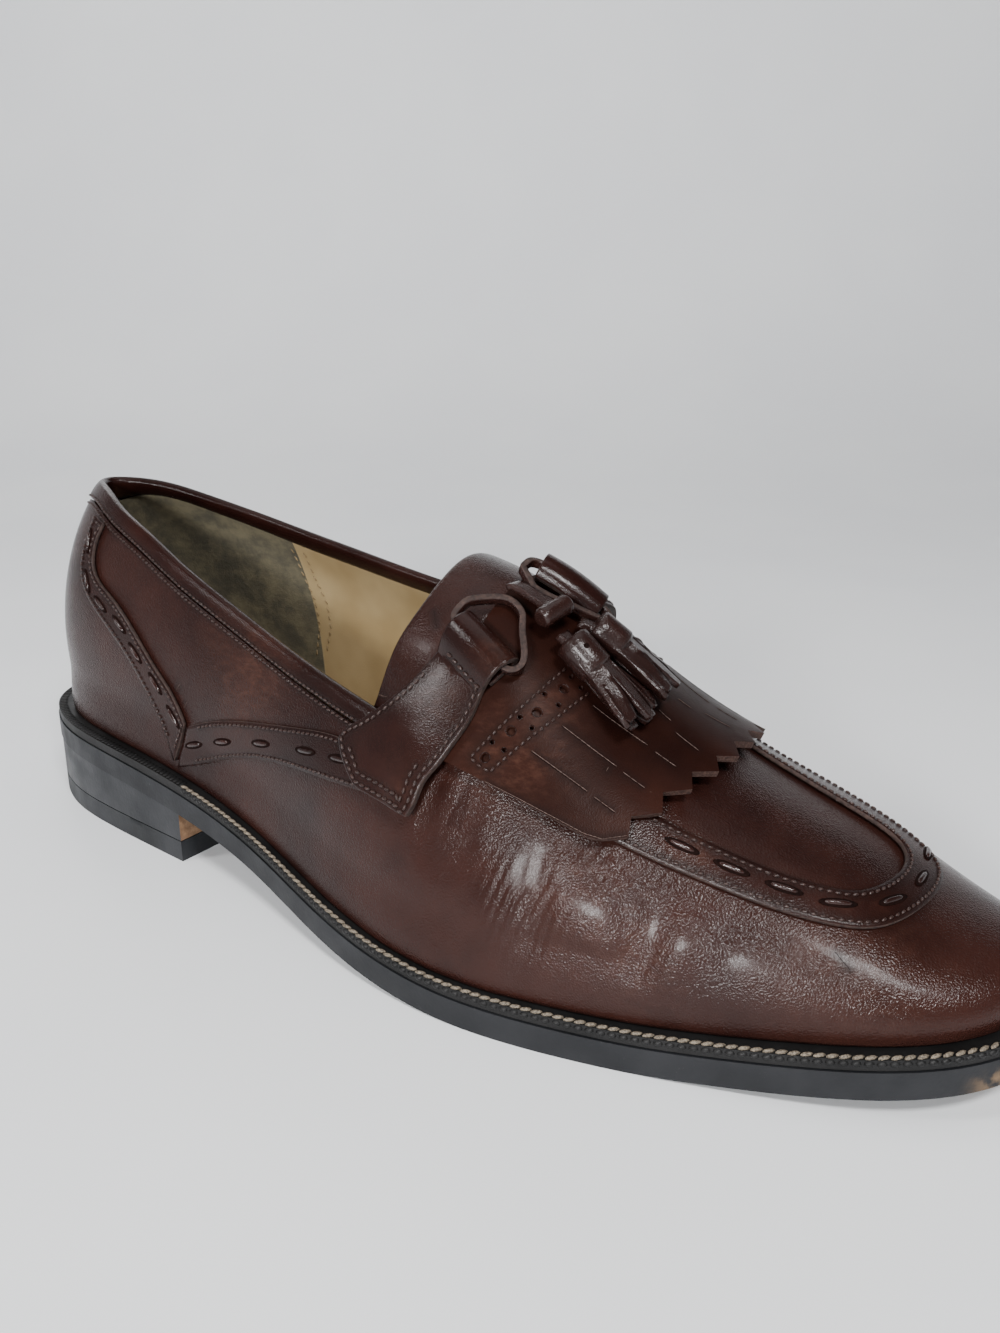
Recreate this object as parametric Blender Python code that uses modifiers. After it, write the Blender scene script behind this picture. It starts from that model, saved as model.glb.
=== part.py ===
"""A kiltie loafer with a thong bow and two tassels: one right shoe, standing on its own sole.

Lengths are in metres. +X runs to the toe, -Y is the outer side of the foot, +Z is up, and the
shoe stands on z = 0 under the middle of its sole.

Places on the upper are given as (along, across). along is the share of LENGTH from the heel.
across is -1 on the outer feather line, 0 on the ridge over the instep and +1 on the inner
feather line. The feather line is where the upper meets the welt. lift is the distance off the
outer face of the upper, along its normal.
"""

import math

import bmesh
import bpy
import numpy as np

# Driving dimensions of the last
LENGTH = 0.288
BALL_HALF = 0.0526
INSTEP = 0.061
HEEL_CURVE = 0.0287
TOE_CURVE = 0.0265
TOE_SPRING = 0.0077
NOSE_BLUNT = 0.0065
NOSE_DROP = 0.003
NOSE_DEPTH = 0.013
CREST = 0.0022
BULGE = 0.0055

# Driving dimensions of the bottom
HEEL_TOP = 0.0188
BREAST_HEIGHT = 0.0147
LIFT = 0.006
OUTSOLE = 0.0062
WELT = 0.0024
INSOLE = 0.0025
FOREPART_MARGIN = 0.0049
SEAT_MARGIN = 0.0065
BACK_MARGIN = 0.0085
WELT_BAND = 0.011

# Driving dimensions of the upper and of what lies on it
FIT = 0.0003
UPPER_WALL = 0.002
COLLAR_HEIGHT = 0.0055
COLLAR_PROUD = 0.0007
TRIM = 0.001
TONGUE_WALL = 0.0022
TONGUE_CROWN = 0.0020
KILTIE = 0.0017
KILTIE_CURL = 0.0013
TOOTH = 0.0032
STRAP = 0.0016
STRAP_TOP = 0.0124
LOOP_REACH = 0.0100
LOOP_HEIGHT = 0.0055
LOOP_LEAN = 0.0035
INNER_SHIFT = 0.0042
THONG_WIDTH = 0.0021
THONG_THICK = 0.0015
THONG_BEND = 0.0021
THONG_SHIFT = 0.0020  # how much further inwards the outer loop goes, and less the inner one
KNOT_RADIUS = 0.0025
BARREL_RADIUS = 0.0043
STRIPS = 7
STRIP_WIDTH = 0.0042
STRIP_THICK = 0.0012

# Places along the shoe, as shares of LENGTH
HEEL_BREAST = 0.27
COLLAR_END = 0.545
THROAT = 0.612
KILTIE_REAR = 0.586

# Sections of the last. outer and inner are half widths of the feather line in shares of
# BALL_HALF; ridge is its height over the floor in shares of INSTEP; wall says how high the
# sides stand, crown how flat the top is, centre how far the ridge lies inward of the middle, and the two
# flares how far each side bulges over the feather line.
SECTION_COLUMNS = ("along", "outer", "inner", "ridge", "wall", "crown", "centre", "flare_out", "flare_in")
SECTIONS = (
    (0.00, 0.000, 0.000, 1.620, 0.62, 0.70, 0.00, 0.10, 0.10),
    (0.12, 0.585, 0.590, 1.620, 0.62, 0.70, 0.00, 0.10, 0.12),
    (0.25, 0.655, 0.610, 1.620, 0.60, 0.66, 0.00, 0.10, 0.18),
    (0.38, 0.750, 0.605, 1.550, 0.52, 0.52, -0.04, 0.10, 0.27),
    (0.50, 0.920, 0.705, 1.490, 0.46, 0.48, -0.11, 0.10, 0.24),
    (0.62, 0.990, 0.835, 1.302, 0.44, 0.52, -0.15, 0.10, 0.15),
    (0.70, 0.930, 0.935, 1.008, 0.46, 0.58, -0.13, 0.10, 0.10),
    (0.80, 0.780, 0.860, 0.767, 0.50, 0.66, -0.08, 0.10, 0.10),
    (0.90, 0.605, 0.625, 0.604, 0.54, 0.72, -0.02, 0.10, 0.10),
    (1.00, 0.000, 0.000, 0.330, 0.56, 0.76, 0.00, 0.10, 0.10),
)

# Underside of the outsole, clipped flat at the floor. share is of HEEL_TOP behind the breast,
# of BREAST_HEIGHT over the arch, of TOE_SPRING under the toe.
UNDERSIDE = (
    ("along", "of", "share"),
    (0.00, HEEL_TOP, 1.00),
    (0.27, BREAST_HEIGHT, 1.00),
    (0.42, BREAST_HEIGHT, 0.52),
    (0.55, BREAST_HEIGHT, 0.13),
    (0.65, BREAST_HEIGHT, -0.01),
    (0.76, TOE_SPRING, -0.02),
    (0.90, TOE_SPRING, 0.46),
    (1.00, TOE_SPRING, 1.00),
)

# Topline: how far up each side it runs, 0 at the feather line and 1 at the ridge.
TOPLINE = (
    ("along", "outer", "inner"),
    (0.00, 0.825, 0.825),
    (0.05, 0.798, 0.785),
    (0.10, 0.718, 0.695),
    (0.17, 0.622, 0.600),
    (0.24, 0.532, 0.548),
    (0.31, 0.484, 0.552),
    (0.38, 0.460, 0.568),
    (0.46, 0.455, 0.572),
    (0.545, 0.460, 0.568),
)

# Profile of the last's back: height over the feather line and how far it stands out, in
# shares of LENGTH and BULGE.
BACK_PROFILE = (
    ("height", "out"),
    (0.000, 0.00),
    (0.042, 0.73),
    (0.097, 1.00),
    (0.156, 0.45),
    (0.208, -0.45),
    (0.250, -1.45),
    (0.312, -2.90),
)


def smooth(knots, values):
    """A natural cubic curve through the values at the knots."""
    knots = np.asarray(knots, float)
    values = np.asarray(values, float)
    count = len(knots)
    step = np.diff(knots)
    slope = np.diff(values) / step
    matrix = np.eye(count)
    right = np.zeros(count)
    for row in range(1, count - 1):
        matrix[row, row - 1 : row + 2] = step[row - 1], 2 * (step[row - 1] + step[row]), step[row]
        right[row] = 6 * (slope[row] - slope[row - 1])
    bend = np.linalg.solve(matrix, right)

    def curve(at):
        at = np.asarray(at, float)
        index = np.clip(np.searchsorted(knots, at) - 1, 0, count - 2)
        ahead = at - knots[index]
        length = step[index]
        start = slope[index] - length * (2 * bend[index] + bend[index + 1]) / 6
        return (
            values[index]
            + ahead * start
            + ahead**2 * bend[index] / 2
            + ahead**3 * (bend[index + 1] - bend[index]) / (6 * length)
        )

    return curve


def columns(table):
    """The columns of a table whose first row holds their names."""
    return {name: [row[place] for row in table[1:]] for place, name in enumerate(table[0])}


def ease(value):
    """0 to 1 with a soft start and a soft end."""
    value = np.clip(value, 0.0, 1.0)
    return value * value * (3 - 2 * value)


SHAPE = columns((SECTION_COLUMNS,) + SECTIONS)
SECTION = {name: smooth(SHAPE["along"], SHAPE[name]) for name in SECTION_COLUMNS[3:]}
FLOOR_LINE = columns(UNDERSIDE)
UNDER = smooth(FLOOR_LINE["along"], [a * b for a, b in zip(FLOOR_LINE["of"], FLOOR_LINE["share"])])
TOP = columns(TOPLINE)
TOP_SHARE = {-1: smooth(TOP["along"], TOP["outer"]), 1: smooth(TOP["along"], TOP["inner"])}
BACK = columns(BACK_PROFILE)
BACK_OUT = smooth([h * LENGTH for h in BACK["height"]], [o * BULGE for o in BACK["out"]])


def half_width_curve(name):
    """Half width of the feather line, round at both ends."""
    along = np.array(SHAPE["along"])
    root = 2 * np.sqrt(along * (1 - along))
    values = np.empty(len(along))
    values[1:-1] = np.array(SHAPE[name][1:-1]) * BALL_HALF / root[1:-1]
    values[0] = math.sqrt(HEEL_CURVE * LENGTH / 2)
    values[-1] = math.sqrt(TOE_CURVE * LENGTH / 2)
    body = smooth(along, values)
    return lambda at: body(at) * 2 * np.sqrt(np.clip(at * (1 - at), 0, None))


HALF = {-1: half_width_curve("outer"), 1: half_width_curve("inner")}


def underside(x):
    """Height of the outsole's underside at a distance x from the heel end of the feather line."""
    return np.maximum(UNDER(np.clip(x / LENGTH, -0.04, 1.04)), 0.0)


def feather_height(x):
    return underside(x) + OUTSOLE + WELT + 2 * FIT


def sole_margin(along):
    """How far the welt stands out from the feather line."""
    side = SEAT_MARGIN + (FOREPART_MARGIN - SEAT_MARGIN) * ease((along - 0.15) / 0.35)
    return side + (BACK_MARGIN - SEAT_MARGIN) * ease(1 - along / 0.06)


def outline(count, offset):
    """Outer and inner rim of the feather line moved out by offset, as (count, 2) arrays."""
    along = (1 - np.cos(np.linspace(0, math.pi, count))) / 2
    outer = np.stack([along * LENGTH, -HALF[-1](along)], 1)
    inner = np.stack([along * LENGTH, HALF[1](along)], 1)
    loop = np.concatenate([outer, inner[-2:0:-1]])
    share = np.concatenate([along, along[-2:0:-1]])
    run = np.roll(loop, -1, 0) - np.roll(loop, 1, 0)
    run /= np.linalg.norm(run, axis=1)[:, None]
    distance = offset(share) if callable(offset) else np.full(len(share), offset)
    loop = loop + np.stack([run[:, 1], -run[:, 0]], 1) * distance[:, None]
    return loop[:count], np.concatenate([loop[:1], loop[: count - 2 : -1]])


def sole_centre():
    """Middle of the sole's outline, which the frame's origin stands under."""
    outer, inner = outline(121, sole_margin)
    both = np.concatenate([outer, inner])
    return (both.max(0) + both.min(0)) / 2


CENTRE = sole_centre()


def last_point(along, across):
    """Points on the last's surface, from arrays of along and across."""
    along, across = np.broadcast_arrays(np.asarray(along, float), np.asarray(across, float))
    side = np.where(across > 0, 1.0, -1.0)
    up = 1 - np.abs(across)
    width = np.where(across > 0, HALF[1](along), HALF[-1](along))
    flare = np.where(across > 0, SECTION["flare_in"](along), SECTION["flare_out"](along))
    base = feather_height(along * LENGTH)
    ridge = SECTION["ridge"](along) * INSTEP
    nose = np.clip((along - 1 + NOSE_DEPTH / LENGTH) / (NOSE_DEPTH / LENGTH), 0, 1)
    ridge += NOSE_BLUNT * ease((along - 0.93) / 0.07) - NOSE_DROP * (1 - np.sqrt(1 - nose**2))
    rise = ridge - base
    out = (1 - up) ** 3 + 3 * up * (1 - up) ** 2 * (1 + flare) + 3 * up**2 * (1 - up) * SECTION["crown"](along)
    height = 3 * up * (1 - up) ** 2 * SECTION["wall"](along) + 3 * up**2 * (1 - up) + up**3
    lean = SECTION["centre"](along) * BALL_HALF * np.clip(4 * along * (1 - along), 0, 1)
    z = height * rise
    back = -BACK_OUT(z) * np.clip(1 - along / 0.30, 0, 1) ** 2
    front = CREST * np.sin(np.clip(z / (7 * CREST), 0, 1.4) * math.pi) * np.clip((along - 0.75) / 0.25, 0, 1) ** 2
    return np.stack([along * LENGTH + back + front, side * out * width + lean * up**2, z + base], -1)


def outward(along, across):
    """The outward normal of the last, by small steps along it and across it."""
    small = 0.0015
    ends = [np.clip(along + d, 0, 1) for d in (-small, small)]
    forward = last_point(ends[1], across) - last_point(ends[0], across)
    sides = [np.clip(across + d, -1, 1) for d in (-small, small)]
    over = last_point(along, sides[1]) - last_point(along, sides[0])
    return np.cross(forward, over)


def lifted(along, across, lift):
    """Points at a distance off the last, along its outward normal, in the frame."""
    along, across, lift = np.broadcast_arrays(*(np.asarray(v, float) for v in (along, across, lift)))
    normal = outward(along, across)
    flat = np.linalg.norm(normal, axis=-1) < 1e-12
    normal[flat] = outward(np.clip(along[flat], 0.004, 0.996), across[flat])
    normal /= np.linalg.norm(normal, axis=-1)[..., None]
    return framed(last_point(along, across) + normal * lift[..., None])


def framed(points):
    return points - np.array([CENTRE[0], CENTRE[1], 0.0])


def share_of(along, side, distance):
    """What a distance up the side is as a share of across, at the topline."""
    top = side * (1 - TOP_SHARE[side](along))
    pace = np.linalg.norm(last_point(along, top + 0.01) - last_point(along, top - 0.01), axis=-1) / 0.02
    return distance / pace


def upper_edge(along, side):
    """How far up the side the wall of the upper reaches: under the collar, then round the throat."""
    at = np.minimum(along, COLLAR_END)
    edge = TOP_SHARE[side](at) - share_of(at, side, COLLAR_HEIGHT + FIT)
    into = np.clip((along - COLLAR_END) / (THROAT - COLLAR_END), 0, 1)
    return 1 - (1 - edge) * np.sqrt(1 - into**2)


def tongue_lift(along, across):
    """Lift of the tongue's outer face: proud in the opening, tucked under the wall round it."""
    side = np.where(across > 0, 1, -1)
    at = np.minimum(along, COLLAR_END)
    edge = np.where(side > 0, TOP_SHARE[1](at), TOP_SHARE[-1](at))
    into = np.clip((along - COLLAR_END) / (THROAT - COLLAR_END), 0, None)
    out = np.hypot(into, np.abs(across) / (1 - edge))
    tucked = -(UPPER_WALL + COLLAR_PROUD + 2 * FIT)
    return tucked + (TONGUE_CROWN - tucked) * ease((1 - out) / 0.32)


def kiltie_lift(along, across):
    """Lift of the kiltie's underside: over the tongue behind, off the vamp at its front."""
    crown = smooth((0.57, 0.61, 0.655, 0.70, 0.76), (0.0025, 0.0025, 0.0014, 0.0019, 0.0034))(along)
    edge = 0.0006 + KILTIE_CURL * ease((along - 0.63) / 0.07)
    return edge + (crown - edge) * ease((0.5 - np.abs(across)) / 0.28)


def strap_lift(along, across):
    """Lift of the strap's underside: over the trim and collar, then the tongue and kiltie."""
    up = 1 - np.abs(across)
    base = TRIM + 2 * FIT + (TONGUE_CROWN - TRIM) * ease((up - 0.36) / 0.16)
    over = np.maximum(kiltie_lift(along, across) + KILTIE + FIT, base)
    return base + (over - base) * ease((along - KILTIE_REAR + 0.026) / 0.014)


def collection(name):
    made = bpy.data.collections.new(name)
    bpy.context.scene.collection.children.link(made)
    return made


def paint(name, colour, roughness):
    """A Principled material with one colour."""
    made = bpy.data.materials.new(name)
    made.use_nodes = True
    shader = made.node_tree.nodes["Principled BSDF"]
    shader.inputs["Base Color"].default_value = (*colour, 1.0)
    shader.inputs["Roughness"].default_value = roughness
    shader.inputs["Metallic"].default_value = 0.0
    return made


def new_object(name, bm, group, material):
    """The object of a finished bmesh, shaded smooth but for its sharp edges."""
    mesh = bpy.data.meshes.new(name)
    bm.to_mesh(mesh)
    bm.free()
    mesh.shade_smooth()
    mesh.set_sharp_from_angle(angle=math.radians(40))
    mesh.materials.append(material)
    made = bpy.data.objects.new(name, mesh)
    group.objects.link(made)
    return made


def grid(bm, rows, cols, place):
    """A grid whose points place(a, b) puts, a and b running from 0 to 1."""
    made = bmesh.ops.create_grid(bm, x_segments=rows, y_segments=cols, size=1.0)["verts"]
    spots = np.array([v.co[:2] for v in made]) / 2 + 0.5
    for vertex, point in zip(made, place(spots[:, 0], spots[:, 1])):
        vertex.co = point
    return made


def solidify(made, thickness, offset):
    wall = made.modifiers.new("Wall", "SOLIDIFY")
    wall.thickness = thickness
    wall.offset = offset
    wall.use_even_offset = True


def leather(name, rows, cols, place, thickness, group, material, offset=1.0):
    """A flat piece draped by place(a, b), its thickness outward of that surface."""
    bm = bmesh.new()
    grid(bm, rows, cols, place)
    made = new_object(name, bm, group, material)
    solidify(made, thickness, offset)
    return made


def weld(bm):
    bmesh.ops.remove_doubles(bm, verts=bm.verts, dist=2e-6)


def loft(bm, rings, closed):
    """Skins a list of rings of points, which close on themselves, and caps the ends if open."""
    rows = [[bm.verts.new(point) for point in ring] for ring in rings]
    pairs = list(zip(rows, rows[1:] + rows[:1])) if closed else list(zip(rows, rows[1:]))
    for first, second in pairs:
        for here in range(len(first)):
            after = (here + 1) % len(first)
            bm.faces.new((first[here], first[after], second[after], second[here]))
    if not closed:
        bm.faces.new(rows[0][::-1])
        bm.faces.new(rows[-1])
    bmesh.ops.recalc_face_normals(bm, faces=bm.faces)


def plate(name, offset, bottom, top, group, material, last=1.0, count=49):
    """A solid between two heights, inside the feather line moved out by offset."""
    outer, inner = outline(count, offset)
    if last < 1.0:
        edge = last * LENGTH
        fine = outline(241, offset)
        cut = [np.array([[edge, np.interp(edge, rim[:, 0], rim[:, 1])]]) for rim in fine]
        behind = outer[:, 0] < edge - FIT
        outer = np.concatenate([outer[behind], cut[0]])
        inner = np.concatenate([inner[behind], cut[1]])
    share = np.linspace(0, 1, 5)[None, :, None]
    flat = outer[:, None] * (1 - share) + inner[:, None] * share
    x = flat[..., 0]
    low = framed(np.concatenate([flat, bottom(x)[..., None]], -1))
    high = framed(np.concatenate([flat, top(x)[..., None]], -1))
    bm = bmesh.new()
    loft(bm, [list(b) + list(t[::-1]) for b, t in zip(low, high)], closed=False)
    weld(bm)
    bmesh.ops.dissolve_degenerate(bm, edges=bm.edges, dist=1e-6)
    return new_object(name, bm, group, material)


def make_bottom(group):
    rubber = paint("sole_black", (0.012, 0.012, 0.013), 0.45)
    lining = paint("insole_tan", (0.42, 0.33, 0.17), 0.6)
    plate("outsole", sole_margin, underside, lambda x: underside(x) + OUTSOLE, group, rubber)
    plate(
        "heel_stack", lambda s: sole_margin(s) - FIT, lambda x: 0 * x + LIFT + FIT,
        lambda x: underside(x) - FIT, group, rubber, last=HEEL_BREAST,
    )
    plate(
        "heel_top_lift", lambda s: sole_margin(s) - FIT, lambda x: 0 * x,
        lambda x: 0 * x + LIFT, group, rubber, last=HEEL_BREAST,
    )
    plate(
        "insole", -(UPPER_WALL + 3 * FIT), lambda x: feather_height(x),
        lambda x: feather_height(x) + INSOLE, group, lining, count=37,
    )
    make_welt(group, paint("welt_black", (0.014, 0.012, 0.012), 0.5))


def make_welt(group, material):
    """The strip between the outsole and the upper, all the way round."""
    rims = []
    for offset in (lambda s: sole_margin(s) - FIT, lambda s: sole_margin(s) - WELT_BAND):
        outer, inner = outline(49, offset)
        rims.append(np.concatenate([outer, inner[-2:0:-1]]))
    rings = []
    for out, into in zip(*rims):
        ring = []
        for spot, level in ((out, 0), (out, 1), (into, 1), (into, 0)):
            ring.append(framed(np.array([*spot, underside(spot[0]) + OUTSOLE + FIT + level * WELT])))
        rings.append(ring)
    bm = bmesh.new()
    loft(bm, rings, closed=True)
    return new_object("welt", bm, group, material)


def collar_stations():
    """Shares of LENGTH from the heel to the end of the collar, closest where the heel is round."""
    return (1 - np.cos(np.linspace(0, 1, 20) * math.acos(1 - 2 * COLLAR_END))) / 2


def make_upper(group, material):
    """The wall of the upper: open underneath, and from the heel to the throat on top."""
    stations = np.concatenate([
        collar_stations(),
        COLLAR_END + (THROAT - COLLAR_END) * np.sin(np.linspace(0, 1, 6)[1:] * math.pi / 2),
        THROAT + (1 - THROAT) * np.sin(np.linspace(0, 1, 15)[1:] * math.pi / 2),
    ])
    bm = bmesh.new()
    for side in (-1, 1):
        def place(a, b, side=side):
            along = stations[np.rint(a * (len(stations) - 1)).astype(int)]
            share = b if side < 0 else 1 - b
            return lifted(along, side * (1 - share * upper_edge(along, side)), 0.0)
        grid(bm, len(stations) - 1, 8, place)
    weld(bm)
    made = new_object("upper", bm, group, material)
    solidify(made, UPPER_WALL, -1.0)
    return made


def make_collar(group, material):
    """The bound edge round the topline, from the outer strap round the heel to the inner one."""
    reach = collar_stations()
    path = [(along, -1) for along in reach[::-1]] + [(along, 1) for along in reach[1:]]
    out = COLLAR_PROUD
    back = -UPPER_WALL - COLLAR_PROUD
    profile = ((0.0, back), (0.0, out), (0.75, out), (1.0, out - 0.0009), (1.0, back + 0.0009), (0.75, back))
    rings = []
    for along, side in path:
        ring = []
        for level, lift in profile:
            up = TOP_SHARE[side](along) - share_of(along, side, COLLAR_HEIGHT * (1 - level))
            ring.append(lifted(along, side * (1 - up), lift))
        rings.append(ring)
    bm = bmesh.new()
    loft(bm, rings, closed=False)
    return new_object("collar_binding", bm, group, material)


def make_tongue(group, material):
    """The tongue, from its rolled rear edge over the instep to under the throat of the vamp."""
    rear = smooth((-0.62, -0.5, -0.3, -0.1, 0.1, 0.3, 0.5, 0.62),
                  (0.498, 0.508, 0.525, 0.528, 0.524, 0.512, 0.498, 0.490))

    def place(a, b):
        across = -0.62 + 1.20 * b
        along = rear(across) + (0.642 - rear(across)) * a
        return lifted(along, across, tongue_lift(along, across) - TONGUE_WALL)

    return leather("tongue", 10, 15, place, TONGUE_WALL, group, material)


def band(table):
    """place(a, b) between two edges given as rows of (along, across) pairs down the band."""
    rows = columns(table)
    steps = np.linspace(0, 1, len(table) - 1)
    edges = [smooth(steps, rows[name]) for name in table[0]]

    def spot(a, b):
        first = np.stack([edges[0](a), edges[1](a)])
        second = np.stack([edges[2](a), edges[3](a)])
        return first * (1 - b) + second * b

    return spot


# The seam trim of the outer side: a band down from the collar behind, then the wing that runs
# forward under the strap. The inner side mirrors it.
BAND_COLUMNS = ("low_along", "low_up", "high_along", "high_up")
BACK_BAND = (
    BAND_COLUMNS,
    (0.078, 0.630, 0.103, 0.605),
    (0.085, 0.490, 0.106, 0.485),
    (0.100, 0.378, 0.128, 0.402),
    (0.142, 0.295, 0.169, 0.345),
    (0.182, 0.228, 0.219, 0.242),
    (0.222, 0.137, 0.252, 0.185),
    (0.258, 0.030, 0.272, 0.128),
)
WING_BAND = (
    BAND_COLUMNS,
    (0.264, 0.022, 0.276, 0.124),
    (0.303, 0.068, 0.325, 0.192),
    (0.358, 0.143, 0.385, 0.260),
    (0.416, 0.208, 0.440, 0.318),
    (0.483, 0.262, 0.487, 0.360),
    (0.540, 0.302, 0.530, 0.370),
)


def make_trim(group, material):
    for name, side in (("outer", -1), ("inner", 1)):
        for part, table, rows in (("back_band", BACK_BAND, 16), ("wing_band", WING_BAND, 14)):
            spot = band(table)

            def place(a, b, spot=spot, side=side):
                along, up = spot(a, b if side < 0 else 1 - b)
                return lifted(along, side * (1 - up), FIT)

            leather(f"{part}_{name}", rows, 2, place, TRIM, group, material)


# The apron band round the vamp, outer edge then inner edge, from the outer side round the toe.
APRON_BAND = (
    ("rim_along", "rim_across", "plug_along", "plug_across"),
    (0.705, -0.466, 0.712, -0.340),
    (0.745, -0.459, 0.757, -0.328),
    (0.790, -0.452, 0.798, -0.322),
    (0.832, -0.456, 0.834, -0.320),
    (0.868, -0.445, 0.860, -0.302),
    (0.897, -0.396, 0.882, -0.262),
    (0.914, -0.296, 0.895, -0.180),
    (0.924, -0.150, 0.902, -0.070),
    (0.928, 0.020, 0.902, 0.040),
    (0.922, 0.175, 0.893, 0.125),
    (0.903, 0.270, 0.872, 0.162),
    (0.870, 0.312, 0.838, 0.172),
    (0.828, 0.330, 0.800, 0.190),
    (0.778, 0.338, 0.756, 0.205),
    (0.720, 0.345, 0.712, 0.215),
)


def make_apron(group, material):
    spot = band(APRON_BAND)

    def place(a, b):
        along, across = spot(a, b)
        return lifted(along, across, FIT)

    return leather("apron_band", 40, 2, place, TRIM, group, material)


def make_kiltie(group, material):
    """The fringed flap, its front edge cut in teeth."""
    teeth = 8
    front = smooth((0, 0.14, 0.26, 0.38, 0.52, 0.66, 0.80, 1.0),
                   (0.7235, 0.740, 0.750, 0.758, 0.764, 0.763, 0.758, 0.742))
    near = smooth((0.58, 0.633, 0.70, 0.77), (-0.558, -0.535, -0.502, -0.492))
    far = smooth((0.58, 0.633, 0.70, 0.77), (0.460, 0.430, 0.375, 0.358))

    def place(a, b):
        tip = np.rint(b * 2 * teeth).astype(int) % 2
        end = front(b) + (tip - 0.5) * TOOTH / LENGTH
        along = KILTIE_REAR + (end - KILTIE_REAR) * a
        across = near(along) + (far(along) - near(along)) * b
        return lifted(along, across, kiltie_lift(along, across))

    return leather("kiltie", 10, 2 * teeth, place, KILTIE, group, material)


# The outer saddle strap from its lower end to the stitching below its loop: rear and front
# edges. The inner one reaches higher up its side, so that the bow sits between the two.
STRAP_TABLE = (
    ("rear_along", "rear_up", "front_along", "front_up"),
    (0.525, 0.301, 0.583, 0.313),
    (0.507, 0.334, 0.588, 0.348),
    (0.498, 0.377, 0.590, 0.393),
    (0.517, 0.427, 0.598, 0.438),
    (0.536, 0.480, 0.604, 0.492),
    (0.555, 0.555, 0.610, 0.555),
    (0.567, 0.642, 0.610, 0.614),
)

# The loop over the end of the strap: how far on and how high the middle of the leather goes,
# in shares of LOOP_REACH and LOOP_HEIGHT over the underside of the strap.
LOOP_TABLE = (
    ("reach", "height"),
    (0.00, 0.12),
    (0.12, 0.38),
    (0.30, 0.72),
    (0.55, 0.95),
    (0.80, 0.90),
    (0.96, 0.64),
    (1.00, 0.42),
    (0.92, 0.22),
    (0.74, 0.13),
    (0.50, 0.13),
    (0.28, 0.13),
)


def strap_spot(side, share, flat, reach):
    """along and across on a strap: flat runs up it to the stitching, reach is metres beyond."""
    along, up = band(STRAP_TABLE)(flat, share)
    back = 1 - ease((reach / LOOP_REACH - 0.9) / 1.1)
    along = along + back * LOOP_LEAN / LENGTH * np.clip(reach / LOOP_REACH, 0, 1)
    if side > 0:
        up = up + 0.11 + 0.46 * (up - 0.30)
        along = along + back * INNER_SHIFT / LENGTH * flat
    across = side * (1 - up)
    pace = np.linalg.norm(last_point(along, across + 0.01) - last_point(along, across - 0.01), axis=-1) / 0.02
    return along, across - side * reach / pace


def make_straps(group, material):
    loop = columns(LOOP_TABLE)
    flat_rows = 10
    loop_rows = len(loop["reach"]) - 1
    steps = np.arange(loop_rows + 1)
    reach = smooth(steps, loop["reach"])
    height = smooth(steps, loop["height"])
    for name, side in (("outer", -1), ("inner", 1)):

        def place(a, b, side=side):
            row = np.rint(a * (flat_rows + loop_rows)).astype(int)
            turn = np.clip(row - flat_rows, 0, loop_rows).astype(float)
            rolled = row > flat_rows
            share = 1 - b if side < 0 else b
            inward = np.where(rolled, reach(turn), 0.0) * LOOP_REACH
            lift = np.where(rolled, height(turn) * LOOP_HEIGHT, 0.5 * STRAP)
            along, across = strap_spot(side, share, np.clip(row / flat_rows, 0, 1), inward)
            return lifted(along, across, strap_lift(along, across) + lift)

        leather(f"strap_{name}", flat_rows + loop_rows, 5, place, STRAP, group, material, offset=0.0)


# Corners of a thong's loop, once round: through the roll from its rear end, out of its front end,
# to the knot and back. outer and inner are across each strap from its rear edge, in shares of
# STRAP_TOP, and reach is beyond the stitching, in shares of LOOP_REACH.
THONG_CORNERS = (
    ("outer", "inner", "reach"),
    (-0.20, -0.20, 0.63),
    (1.12, 1.20, 0.66),
    (1.12, 1.19, 1.17),
    (0.97, 1.00, 1.90),
    (0.64, 0.68, 1.90),
    (-0.18, -0.20, 1.10),
)


def rounded_loop(corners, radius, count):
    """A closed path round the corners, each turned with an arc, in steps of equal length."""
    path = []
    for here, corner in enumerate(corners):
        into = corner - corners[here - 1]
        out = corners[(here + 1) % len(corners)] - corner
        into = into / np.linalg.norm(into)
        out = out / np.linalg.norm(out)
        turn = math.acos(float(into @ out))
        inward = (out - into * float(into @ out)) / math.sin(turn)
        start = corner - into * radius * math.tan(turn / 2)
        for angle in np.linspace(0, turn, 12):
            path.append(start + radius * (into * math.sin(angle) + inward * (1 - math.cos(angle))))
    path = np.array(path + path[:1])
    run = np.concatenate([[0.0], np.cumsum(np.linalg.norm(np.diff(path, axis=0), axis=1))])
    at = np.arange(count) / count * run[-1]
    return np.stack([np.interp(at, run, path[:, 0]), np.interp(at, run, path[:, 1])], 1)


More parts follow.
